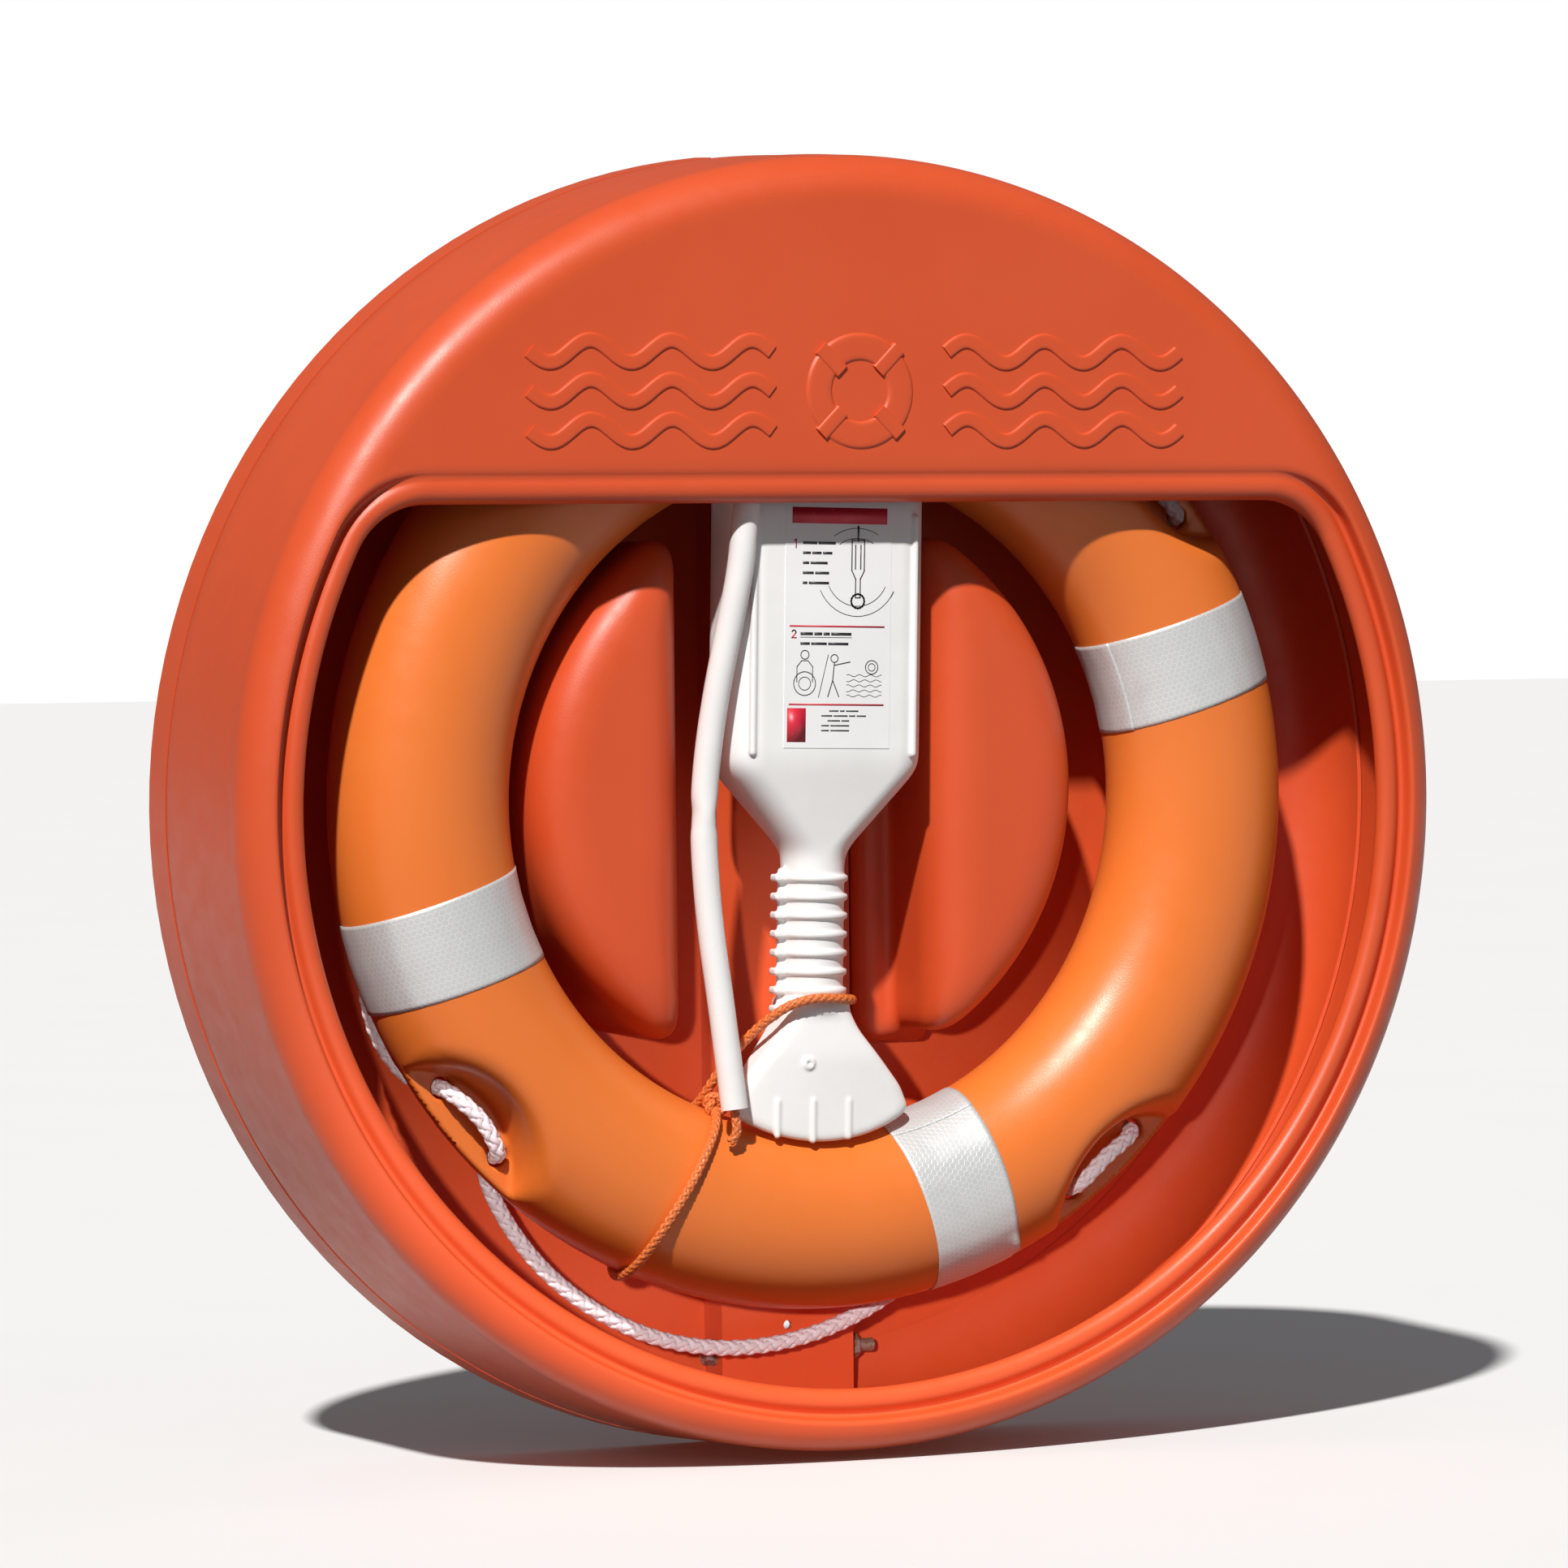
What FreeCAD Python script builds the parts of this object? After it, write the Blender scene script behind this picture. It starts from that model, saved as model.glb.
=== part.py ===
import FreeCAD, Part
import os
from math import cos, pi, radians, sin, tan

# A 24 inch ring buoy in a wall or post housing, with its throwing-line holder.
# Millimetres. +Z is up, the front faces -Y, and the origin is the centre of the
# housing on its flat back. Every depth below is counted forward from that back.

Vector = FreeCAD.Vector
Rotation = FreeCAD.Rotation
Placement = FreeCAD.Placement

X_AXIS = Vector(1, 0, 0)
Y_AXIS = Vector(0, 1, 0)
Z_AXIS = Vector(0, 0, 1)

DIMENSIONS = [
    # the ring buoy
    ("ring_outer_radius", 305, "half of the 610 mm outside diameter"),
    ("ring_half_width", 54, "half of the section, across the ring"),
    ("ring_half_depth", 46, "half of the section, front to back"),
    ("ring_skin", 3.5, "wall of the moulded shell"),
    ("ring_centre_x", -4, "the ring hangs a little to the left"),
    ("ring_centre_depth", 89, "middle of the ring in front of the back"),
    ("ring_centre_z", 3, "middle of the ring above the housing's"),
    ("web_thickness", 10, "web that the grab line is threaded through"),
    ("recess_radius", 62, "scalloped recess at the web"),
    ("recess_mouth_radius", 74, "the same recess at the front and back faces"),
    ("recess_centre_radius", 336.5, "its centre, from the ring's centre"),
    ("recess_angle", 39.75, "the first recess, anticlockwise from +X"),
    ("rope_hole_radius", 6.5, "two holes in each web"),
    ("rope_hole_circle", 291, "radius that the rope holes lie on"),
    ("rope_hole_half_angle", 5.35, "from the recess's middle to each hole"),
    ("tape_angle", 18.25, "the first reflective tape"),
    ("tape_width", 55, "reflective tape"),
    ("tape_thickness", 0.6, "tape and its glue"),
    ("plug_radius", 11, "filling plug on the back of the ring"),
    # the housing
    ("housing_back_radius", 390, "outer wall at the back"),
    ("housing_front_radius", 383, "outer wall where the front edge starts"),
    ("housing_depth", 155, "back to front face"),
    ("edge_radius", 26, "round front edge"),
    ("wall", 4, "moulded wall"),
    ("seam_depth", 25, "back shell's rim meets the front cover here"),
    ("seam_lap", 12, "how far the back shell's rim reaches inside"),
    ("opening_radius", 345, "round part of the opening"),
    ("opening_top", 178, "straight edge under the hood"),
    ("opening_corner", 45, "corner where the straight edge meets the circle"),
    ("bead_width", 13, "rolled bead round the opening"),
    ("bead_depth", 146, "front of the bead"),
    ("spine_width", 86, "outside width of the post channel"),
    ("spine_depth", 32, "front of the post channel"),
    ("fixing_height", 317, "wall fixing holes above and below the centre"),
    ("fixing_radius", 2.75, "wall fixing holes"),
    ("bolt_height", 333, "post bolts above and below the centre"),
    ("bolt_depth", 18, "post bolts in front of the back"),
    ("boss_radius", 176, "round side of the two ring locators"),
    ("boss_centre_x", -12, "centre of that round side"),
    ("boss_centre_z", 9, "centre of that round side"),
    ("boss_depth", 112, "front of the locators"),
    ("boss_fillet", 14, "round edges of the locators"),
    ("boss_half_height", 161, "cut off this far above and below the centre"),
    ("boss_left_x", -92, "flat side of the left locator"),
    ("boss_right_x", 67, "flat side of the right locator"),
    ("ledge_depth", 42, "low step beside the right locator"),
    ("ledge_x", 44, "inner side of that step"),
    # the line holder
    ("holder_width", 124, "bottle of the line holder"),
    ("holder_thickness", 58, "bottle, front to back"),
    ("holder_wall", 2, "blown wall"),
    ("holder_axis_depth", 100, "middle of the holder"),
    ("holder_axis_x", -9, "middle of the holder at the housing's centre"),
    ("holder_tilt", 1.4, "the holder leans a little"),
    ("holder_top", 184, "top of the bottle"),
    ("holder_shoulder_top", 26, "where the shoulder starts"),
    ("neck_top", -30, "where the handle starts"),
    ("neck_radius", 19, "handle"),
    ("rib_radius", 21, "grip ribs on the handle"),
    ("sleeve_radius", 8, "white sleeve round the throwing line"),
    ("sleeve_bore", 6, "its inside"),
    ("throw_line_radius", 3.1, "orange throwing line"),
    ("grab_line_radius", 5, "white grab line"),
]

# M8 hardware across the post channel.
BOLT_HOLE_RADIUS = 4.3
BOLT_RADIUS = 4
BOLT_HEAD_HEIGHT = 5.3
BOLT_PAST_WASHER = 17
NUT_FLATS = 13
NUT_HEIGHT = 6.5
WASHER_RADIUS = 8
WASHER_THICKNESS = 1.6

# The foot of the right locator, the plug and the joint in the grab line.
LEDGE_HALF_HEIGHT = 148
LEDGE_FILLET = 8
PLUG_ANGLE = 62
PLUG_THICKNESS = 6
JOINT_HALF_LENGTH = 14
JOINT_WALL = 1.5
JOINT_CLEARANCE = 0.7

# The line holder, heights along its own axis.
BOTTLE_CORNER = 20
HANDLE_BOTTOM = -123
RIB_COUNT = 8
RIB_HEIGHT = 3.2
RIB_START = -46
RIB_PITCH = 11.1
FAN_TOP = -122
FAN_BOTTOM = -202
FAN_LEFT = [(-19, FAN_TOP), (-24, -134), (-40, -152), (-53, -168), (-59, -182)]
FAN_SIDE = [(-19, -121), (-22, -150), (-22, -204), (-17, -203), (-5, -176), (19, -121)]
CAP_THICKNESS = 3
CAP_SKIRT = 8
CAP_CLEARANCE = 0.1
LABEL_THICKNESS = 0.3

# Where the free lines run: points chosen by hand, in the housing's frame.
SLEEVE_ROUTE = [
    (-63, -132, 178), (-65, -132, 160), (-68, -132, 136), (-74, -129, 104), (-81, -126, 68),
    (-86, -123, 32), (-88.5, -121.5, -2), (-88, -122, -36), (-85.5, -124, -74), (-81, -127, -114),
    (-77.5, -129, -148), (-74.5, -131, -178),
]
LEAD_ROUTE = [(-74.2, -131.8, -184), (-73.4, -132, -189.5), (-74.2, -131, -194.5), (-77, -129.8, -197.5)]
TIE_ROUTE = [
    (-75.6, -76.6, -178.1), (-74, -84, -172), (-69, -91, -160), (-62, -97.5, -148.5),
    (-54.5, -106, -137), (-46, -116, -126.5), (-36, -122.5, -118.8), (-24, -125.4, -115),
    (-12, -124.8, -114.8), (0, -122, -115.7), (9.5, -113.5, -117), (13, -101, -117.5),
    (9.5, -88.5, -117.5), (0, -79, -117), (-12, -75.4, -116.5), (-24, -78.5, -116.5),
]
# The lashing, as angle round the ring and turn round its section: 0 is the inner
# edge, 90 the front, 180 the outer edge.
LASHING_ROUTE = [
    (248.4, 14), (248.3, 30), (247.3, 48), (246.3, 66), (245.6, 84), (245, 102), (244.8, 120),
    (244.8, 138), (245, 156), (245.2, 174), (245.5, 192), (245.9, 212), (246.4, 232),
    (246.9, 252), (247.4, 272), (247.9, 292), (248.2, 312), (248.4, 330), (248.4, 344),
]
LASHING_GAP = 3.9
# The grab line, as angle round the ring (anticlockwise from +X), radius from the
# ring's centre and depth: along the top, then behind the ring between the webs, with
# one slack span below.
GRAB_ROUTE = [
    (90.1, 311.6, 80), (94.5, 311.5, 80), (101, 312, 79), (108, 312.5, 75.5), (114.5, 311, 68),
    (119.5, 304.5, 59.5), (122.8, 295.5, 60), (124.4, 291, 72), (124.4, 291, 98),
    (127, 288, 104.5), (129.75, 286, 105.5), (132.5, 288, 104.5), (135.1, 291, 98),
    (135.1, 291, 70), (136.6, 291.5, 53), (139.8, 288.5, 44.5), (148, 271, 38.8), (156.5, 261, 36.5),
    (165.5, 257.5, 36), (174.5, 257, 36), (183, 260, 36.5), (190, 268.5, 39), (196, 280, 43.5),
    (201.5, 290, 46), (207, 297.5, 49), (212.4, 296.5, 56), (214.4, 291, 71), (214.4, 291, 98),
    (217, 288, 104.5), (219.75, 286, 105.5), (222.5, 288, 104.5), (225.1, 291, 98),
    (225.1, 291, 72), (226.6, 294.5, 60), (230, 303.5, 55.5), (235, 315, 58), (240.5, 325, 62),
    (246.5, 331.5, 65), (253, 335, 66), (259.5, 334, 66), (266, 329.5, 65), (272.5, 322, 63),
    (279, 312, 60), (285.5, 301, 54), (292, 294, 47), (298, 292, 44.5), (302.6, 292.5, 53),
    (304.4, 291, 70), (304.4, 291, 98), (307, 288, 104.5), (309.75, 286, 105.5),
    (312.5, 288, 104.5), (315.1, 291, 98), (315.1, 291, 70), (316.9, 292.5, 53), (321.5, 292, 44.5),
    (328.5, 291, 45), (336.5, 293, 47), (344.5, 292.5, 47.5), (352.5, 290, 46.5), (360.5, 289, 46.5),
    (368.5, 290, 46.5), (376, 291.5, 47), (383, 291.5, 45.5), (388.4, 292, 44.5), (392.6, 292.5, 53),
    (394.4, 291, 70), (394.4, 291, 98), (397, 288, 104.5), (399.75, 286, 105.5),
    (402.5, 288, 104.5), (405.1, 291, 98), (405.1, 291, 72), (406.7, 295, 60.5),
    (410.5, 303.5, 57), (416, 310, 62), (423, 312.5, 69.5), (430.5, 312.5, 75.5), (438, 312, 79),
    (445.2, 311.5, 80), (449.9, 311.6, 80),
]


def fill_sheet(sheet):
    """Put every driving dimension in a cell with its name and what it is."""
    for row, (name, value, meaning) in enumerate(DIMENSIONS, start=1):
        sheet.set(f"A{row}", meaning)
        sheet.set(f"B{row}", str(value))
        sheet.setAlias(f"B{row}", name)


def formula(text):
    """An expression in which each dimension's name stands for its cell."""
    words = text.replace("(", " ( ").replace(")", " ) ").split()
    return " ".join(f"Sizes.{word}" if word in SIZE else word for word in words)


def bind(thing, **formulas):
    """Tie properties to the sheet; Placement_Base_x stands for Placement.Base.x."""
    for name, text in formulas.items():
        thing.setExpression(name.replace("_", "."), formula(text))
    return thing


def place(thing, at=(0, 0, 0), axis=Z_AXIS, turn=0):
    thing.Placement = Placement(Vector(*at), Rotation(axis, turn))
    return thing


def forwards(thing, at=(0, 0, 0)):
    """Turn a primitive that is built along +Z so that it runs towards the front."""
    return place(thing, at, X_AXIS, 90)


def new_document():
    """Open the document with its sheet of sizes."""
    document = FreeCAD.newDocument("Lifebuoy")
    fill_sheet(document.addObject("Spreadsheet::Sheet", "Sizes"))
    document.recompute()
    return document


SIZE = {name: value for name, value, _ in DIMENSIONS}
doc = new_document()
nodes = []


def add(kind, name, **formulas):
    return bind(doc.addObject(kind, name), **formulas)


def cut(name, base, tool):
    thing = doc.addObject("Part::Cut", name)
    thing.Base = base
    thing.Tool = tool
    return thing


def fuse(name, things):
    thing = doc.addObject("Part::MultiFuse", name)
    thing.Shapes = things
    return thing


def common(name, things):
    thing = doc.addObject("Part::MultiCommon", name)
    thing.Shapes = things
    return thing


def rounded(name, base, radius, picks):
    """Round the edges of a solid for which picks(edge) is true."""
    doc.recompute()
    chosen = [i for i, edge in enumerate(base.Shape.Edges, start=1) if picks(edge)]
    thing = doc.addObject("Part::Fillet", name)
    thing.Base = base
    thing.Edges = [(i, radius, radius) for i in chosen]
    return thing


def solid(name, shape):
    thing = doc.addObject("Part::Feature", name)
    thing.Shape = shape
    return thing


def node(thing, label):
    thing.Label = label
    nodes.append(thing)
    return thing


# ---------------------------------------------------------------- lines and tubes

def smooth_path(points):
    """Straight runs joined by arcs that take up to 0.45 of the shorter run."""
    edges = []
    radii = []
    start = points[0]
    for before, corner, after in zip(points, points[1:], points[2:]):
        back = (before - corner).normalize()
        ahead = (after - corner).normalize()
        half_turn = (pi - back.getAngle(ahead)) / 2
        reach = 0.45 * min((before - corner).Length, (after - corner).Length)
        radius = reach / tan(half_turn)
        arc_start = corner + back * reach
        arc_end = corner + ahead * reach
        middle = (back + ahead).normalize()
        centre_gap = radius / cos(half_turn)
        arc_middle = corner + middle * (centre_gap - radius)
        edges.append(Part.LineSegment(start, arc_start).toShape())
        edges.append(Part.Arc(arc_start, arc_middle, arc_end).toShape())
        radii.append(radius)
        start = arc_end
    edges.append(Part.LineSegment(start, points[-1]).toShape())
    return Part.Wire(edges), radii


def tube(name, points, radius):
    """A round solid along a route, with its length and tightest bend printed."""
    path, radii = smooth_path(points)
    along = (points[1] - points[0]).normalize()
    ring = Part.Wire([Part.makeCircle(radius, points[0], along)])
    shape = path.makePipeShell([ring], True, False)
    share = shape.Volume / (pi * radius * radius * path.Length)
    print(f"{name}: {path.Length:.0f} mm long, volume {share:.3f} of section times length")
    print(f"  bend radii {[round(r) for r in radii]}")
    return shape


def vectors(route):
    return [Vector(*point) for point in route]


def section_point(angle, turn):
    """A point just outside the ring's section, in the housing's frame."""
    middle = SIZE["ring_outer_radius"] - SIZE["ring_half_width"]
    across = SIZE["ring_half_width"] + LASHING_GAP
    deep = SIZE["ring_half_depth"] + LASHING_GAP
    radius = middle - across * cos(radians(turn))
    return ring_point(angle, radius, SIZE["ring_centre_depth"] + deep * sin(radians(turn)))


def ring_point(angle, radius, depth):
    """A point given round the ring, in the housing's frame."""
    turn = radians(angle)
    return Vector(
        SIZE["ring_centre_x"] + radius * cos(turn),
        -depth,
        SIZE["ring_centre_z"] + radius * sin(turn),
    )


# ---------------------------------------------------------------------- housing

def wall_cone(name, start, end, inset):
    """The housing's outer wall, or the same moved inwards, between two depths."""
    run = "( housing_depth - edge_radius )"
    slope = f"( housing_back_radius - housing_front_radius ) / {run}"
    cone = add(
        "Part::Cone", name,
        Radius1=f"housing_back_radius - {slope} * ( {start} ) - ( {inset} )",
        Radius2=f"housing_back_radius - {slope} * ( {end} ) - ( {inset} )",
        Height=f"{end} - ( {start} )",
        Placement_Base_y=f"0 - ( {start} )",
    )
    cone.Placement = Placement(cone.Placement.Base, Rotation(X_AXIS, 90))
    return cone


def opening_tool(name, grow, start, end):
    """A block the shape of the opening: round below, straight under the hood."""
    disc = add(
        "Part::Cylinder", name + "Disc",
        Radius=f"opening_radius + {grow}", Height=f"{end} - {start}", Placement_Base_y=f"0 - {start}",
    )
    disc.Placement = Placement(disc.Placement.Base, Rotation(X_AXIS, 90))
    slab = add(
        "Part::Box", name + "Slab",
        Length="2 * housing_back_radius", Width=f"{end} - {start}",
        Height=f"housing_back_radius + opening_top + {grow}",
        Placement_Base_x="0 - housing_back_radius", Placement_Base_y=f"0 - ( {end} )",
        Placement_Base_z="0 - housing_back_radius",
    )
    both = common(name + "Both", [disc, slab])
    top = SIZE["opening_top"]

    def is_corner(edge):
        box = edge.BoundBox
        upright = box.XLength < 0.1 and box.ZLength < 0.1
        return upright and box.ZMin > top - 1
    return rounded(name, both, SIZE["opening_corner"] + grow, is_corner)


def is_front_edge(edge):
    """A full circle on the front face."""
    box = edge.BoundBox
    return box.YLength < 0.1 and box.YMin < -SIZE["housing_depth"] + SIZE["wall"] + 1


def make_front_cover():
    outside = wall_cone("CoverOutside", "seam_depth", "housing_depth", "0")
    inside = wall_cone("CoverInside", "seam_depth - 1", "housing_depth - wall", "wall")
    shell = cut(
        "CoverShell",
        rounded("CoverEdge", outside, SIZE["edge_radius"], is_front_edge),
        rounded("CoverInnerEdge", inside, SIZE["edge_radius"] - SIZE["wall"], is_front_edge),
    )
    bead = SIZE["bead_width"]
    step = opening_tool("CoverStep", bead, "( housing_depth - wall - 6 )", "( housing_depth + 5 )")
    lip = opening_tool("CoverLip", bead, "( bead_depth - wall )", "bead_depth")
    mouth = opening_tool("CoverMouth", 0, "( bead_depth - 20 )", "( housing_depth + 10 )")
    collar = opening_tool("CoverCollar", bead, "( bead_depth - wall )", "( housing_depth - 1 )")
    collar_outer = opening_tool("CoverCollarOut", bead + 4, "( bead_depth - wall )", "( housing_depth - 1 )")
    shell = cut("CoverOpened", shell, step)
    shell = fuse("CoverWithBead", [shell, lip, cut("CoverCollarRing", collar_outer, collar)])
    shell = cut("CoverWithMouth", shell, mouth)
    return node(cut("FrontCover", shell, channel_tool("CoverNotch")), "front_cover")


def channel_tool(name):
    """The space for the post, which runs through the housing's rim."""
    return add(
        "Part::Box", name,
        Length="spine_width - 2 * wall", Width="spine_depth - wall + 5", Height="900",
        Placement_Base_x="wall - spine_width / 2", Placement_Base_y="wall - spine_depth",
        Placement_Base_z="-450",
    )


def make_back_shell():
    disc = wall_cone("BackDisc", "0", "wall", "0")
    rim = cut(
        "BackRim",
        wall_cone("BackRimOut", "0", "seam_depth - 0.2", "0"),
        wall_cone("BackRimIn", "-1", "seam_depth + 1", "wall"),
    )
    lap = cut(
        "BackLap",
        wall_cone("BackLapOut", "wall", "seam_depth + seam_lap", "wall + 0.3"),
        wall_cone("BackLapIn", "wall - 1", "seam_depth + seam_lap + 1", "wall + 3.3"),
    )
    link = cut(
        "BackLink",
        wall_cone("BackLinkOut", "wall", "seam_depth - 6", "1"),
        wall_cone("BackLinkIn", "wall - 1", "seam_depth - 5", "wall + 3.3"),
    )
    spine = common("BackSpine", [
        add(
            "Part::Box", "BackSpineBox",
            Length="spine_width", Width="spine_depth", Height="900",
            Placement_Base_x="0 - spine_width / 2", Placement_Base_y="0 - spine_depth",
            Placement_Base_z="-450",
        ),
        wall_cone("BackSpineLimit", "0", "spine_depth", "wall + 2"),
    ])
    shell = fuse("BackFused", [disc, rim, lap, link, spine])
    holes = []
    for side, sign in (("Upper", ""), ("Lower", "0 - ")):
        fixing = forwards(add("Part::Cylinder", side + "FixingHole", Radius="fixing_radius", Height="60"))
        bind(fixing, Placement_Base_z=f"{sign}fixing_height")
        bolt = place(add("Part::Cylinder", side + "BoltHole", Height="200"), (-100, 0, 0), Y_AXIS, 90)
        bolt.Radius = BOLT_HOLE_RADIUS
        bind(bolt, Placement_Base_y="0 - bolt_depth", Placement_Base_z=f"{sign}bolt_height")
        holes += [fixing, bolt]
    shell = cut("BackChannelled", shell, fuse("BackHoles", [channel_tool("BackChannel")] + holes))
    return node(shell, "back_shell")


def hexagon(name, flats, height, at):
    """A six-sided block that lies along +X."""
    prism = add("Part::Prism", name)
    prism.Polygon = 6
    prism.Circumradius = flats / 2 / cos(pi / 6)
    prism.Height = height
    return place(prism, at, Y_AXIS, 90)


def cylinder_x(name, radius, length, at):
    thing = add("Part::Cylinder", name)
    thing.Radius = radius
    thing.Height = length
    return place(thing, at, Y_AXIS, 90)


def make_post_fasteners():
    """Two M8 bolts across the post channel, head on the left and nut on the right."""
    side = SIZE["spine_width"] / 2
    depth = -SIZE["bolt_depth"]
    bolts, nuts, washers = [], [], []
    for name, height in (("Upper", SIZE["bolt_height"]), ("Lower", -SIZE["bolt_height"])):
        shank_x = -side - WASHER_THICKNESS
        head_x = shank_x - BOLT_HEAD_HEIGHT
        shank_length = 2 * side + 2 * WASHER_THICKNESS + BOLT_PAST_WASHER
        head = hexagon(name + "Head", NUT_FLATS, BOLT_HEAD_HEIGHT, (head_x, depth, height))
        shank = cylinder_x(name + "Shank", BOLT_RADIUS, shank_length, (shank_x, depth, height))
        bolts.append(fuse(name + "Bolt", [head, shank]))
        nut_x = side + WASHER_THICKNESS
        nuts.append(cut(
            name + "Nut",
            hexagon(name + "NutBlank", NUT_FLATS, NUT_HEIGHT, (nut_x, depth, height)),
            cylinder_x(name + "NutBore", BOLT_RADIUS + 0.05, NUT_HEIGHT + 2, (nut_x - 1, depth, height)),
        ))
        for end, x in (("Left", -side - WASHER_THICKNESS), ("Right", side)):
            washers.append(cut(
                name + end + "Washer",
                cylinder_x(name + end + "Disc", WASHER_RADIUS, WASHER_THICKNESS, (x, depth, height)),
                cylinder_x(name + end + "Bore", BOLT_HOLE_RADIUS, 4, (x - 1, depth, height)),
            ))
    for label, things in (("post_bolts", bolts), ("post_nuts", nuts), ("post_washers", washers)):
        group = doc.addObject("Part::Compound", label.title().replace("_", ""))
        group.Links = things
        node(group, label)


def make_locator(label, side, flat_x):
    """A D-shaped block that the ring hangs round, hollow and open at the back."""
    name = label.title().replace("_", "")
    depth, radius, wall = SIZE["boss_depth"], SIZE["boss_radius"], SIZE["wall"]
    middle_x, middle_z = SIZE["boss_centre_x"], SIZE["boss_centre_z"]

    def block(suffix, inset, front, fillet):
        disc = forwards(add("Part::Cylinder", name + suffix + "Disc"), (middle_x, -wall, middle_z))
        bind(disc, Radius=f"boss_radius - {inset}", Height=f"boss_depth - wall - {front}")
        width = radius
        slab = add("Part::Box", name + suffix + "Slab")
        slab.Length = width
        slab.Width = depth
        bind(slab, Height=f"2 * boss_half_height - 2 * {inset}")
        start = flat_x + inset if side > 0 else flat_x - inset - width
        place(slab, (start, -depth - 1, middle_z - SIZE["boss_half_height"] + inset))
        both = common(name + suffix + "Both", [disc, slab])

        def is_outer(edge):
            return edge.BoundBox.YMin < -wall - 1
        return rounded(name + suffix, both, fillet, is_outer)
    hollow = cut(
        name + "Hollow", block("Out", 0, 0, SIZE["boss_fillet"]),
        block("In", wall, wall, SIZE["boss_fillet"] - wall),
    )
    if side < 0:
        return node(hollow, label)
    step = add(
        "Part::Box", "LedgeBlock",
        Length="boss_right_x - ledge_x + 2", Width="ledge_depth - wall",
        Placement_Base_x="ledge_x", Placement_Base_y="0 - ledge_depth",
    )
    step.Height = 2 * LEDGE_HALF_HEIGHT
    step.Placement.Base.z = -LEDGE_HALF_HEIGHT

    def is_ledge_edge(edge):
        box = edge.BoundBox
        near = box.XMin < SIZE["ledge_x"] + 0.1
        return near and box.YMin < -SIZE["wall"] - 1
    step = rounded("Ledge", step, LEDGE_FILLET, is_ledge_edge)
    return node(fuse(name, [hollow, step]), label)


# ------------------------------------------------------------------------- ring

def ring_solid(name, grow):
    """The ring about its own centre, its section an ellipse grown by a little."""
    middle = SIZE["ring_outer_radius"] - SIZE["ring_half_width"]
    width = SIZE["ring_half_width"] + grow
    depth = SIZE["ring_half_depth"] + grow
    ellipse = Part.Ellipse(Vector(middle, 0, 0), width, depth)
    halves = [
        Part.ArcOfEllipse(ellipse, 0, pi).toBSpline().toShape(),
        Part.ArcOfEllipse(ellipse, pi, 2 * pi).toBSpline().toShape(),
    ]
    section = Part.Face(Part.Wire(halves))
    return solid(name, section.revolve(Vector(), Y_AXIS, 360))


def hang(thing):
    """Move a piece that is built about the ring's centre to where the ring hangs."""
    return bind(
        thing, Placement_Base_x="ring_centre_x",
        Placement_Base_y="0 - ring_centre_depth", Placement_Base_z="ring_centre_z",
    )


def around(radius, angle, depth):
    turn = radians(angle)
    return (radius * cos(turn), depth, radius * sin(turn))


def recess_angles():
    return [SIZE["recess_angle"] + 90 * i for i in range(4)]


def recess_tools(name, grow, start):
    """Eight cones: a scallop on the front and on the back at each of four places."""
    tools = []
    for i, angle in enumerate(recess_angles()):
        for face, sign in (("Front", -1), ("Back", 1)):
            cone = add(
                "Part::Cone", f"{name}{face}{i}",
                Radius1=f"recess_radius + {grow}", Radius2=f"recess_mouth_radius + {grow}",
                Height="60",
            )
            at = around(SIZE["recess_centre_radius"], angle, sign * start)
            tools.append(place(cone, at, X_AXIS, -90 * sign))
    return tools


def make_ring():
    outside = ring_solid("RingOutside", 0)
    core_blank = ring_solid("CoreBlank", -SIZE["ring_skin"])
    middle = SIZE["ring_outer_radius"] - SIZE["ring_half_width"]
    plug_at = around(middle, PLUG_ANGLE, SIZE["ring_half_depth"] - PLUG_THICKNESS)
    plug = add("Part::Cylinder", "PlugBlank", Radius="plug_radius")
    plug.Height = PLUG_THICKNESS
    place(plug, plug_at, X_AXIS, -90)
    plug_hole = add("Part::Cylinder", "PlugHole", Radius="plug_radius")
    plug_hole.Height = PLUG_THICKNESS + 10
    place(plug_hole, plug_at, X_AXIS, -90)
    scallops = recess_tools("CoreRecess", "ring_skin", 0)
    core = cut("FoamCore", core_blank, fuse("CoreTools", scallops + [plug_hole]))
    holes = []
    for i, angle in enumerate(recess_angles()):
        for j, side in enumerate((-1, 1)):
            hole = forwards(add("Part::Cylinder", f"RopeHole{i}{j}", Radius="rope_hole_radius"))
            hole.Height = 60
            turn = angle + side * SIZE["rope_hole_half_angle"]
            hole.Placement.Base = Vector(*around(SIZE["rope_hole_circle"], turn, 30))
            holes.append(hole)
    tools = recess_tools("Recess", "0", SIZE["web_thickness"] / 2) + holes
    shell = cut("RingOpened", outside, fuse("RingTools", tools))
    shell = cut("RingShell", shell, fuse("RingInside", [core, plug_hole]))
    node(hang(shell), "ring_shell")
    node(hang(linked("FoamFilling", core)), "foam_core")
    node(hang(linked("FillingPlug", plug)), "filling_plug")


def linked(name, thing):
    """A piece with another object's shape, free to have a placement of its own."""
    copy = doc.addObject("Part::Compound", name)
    copy.Links = [thing]
    return copy


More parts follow.
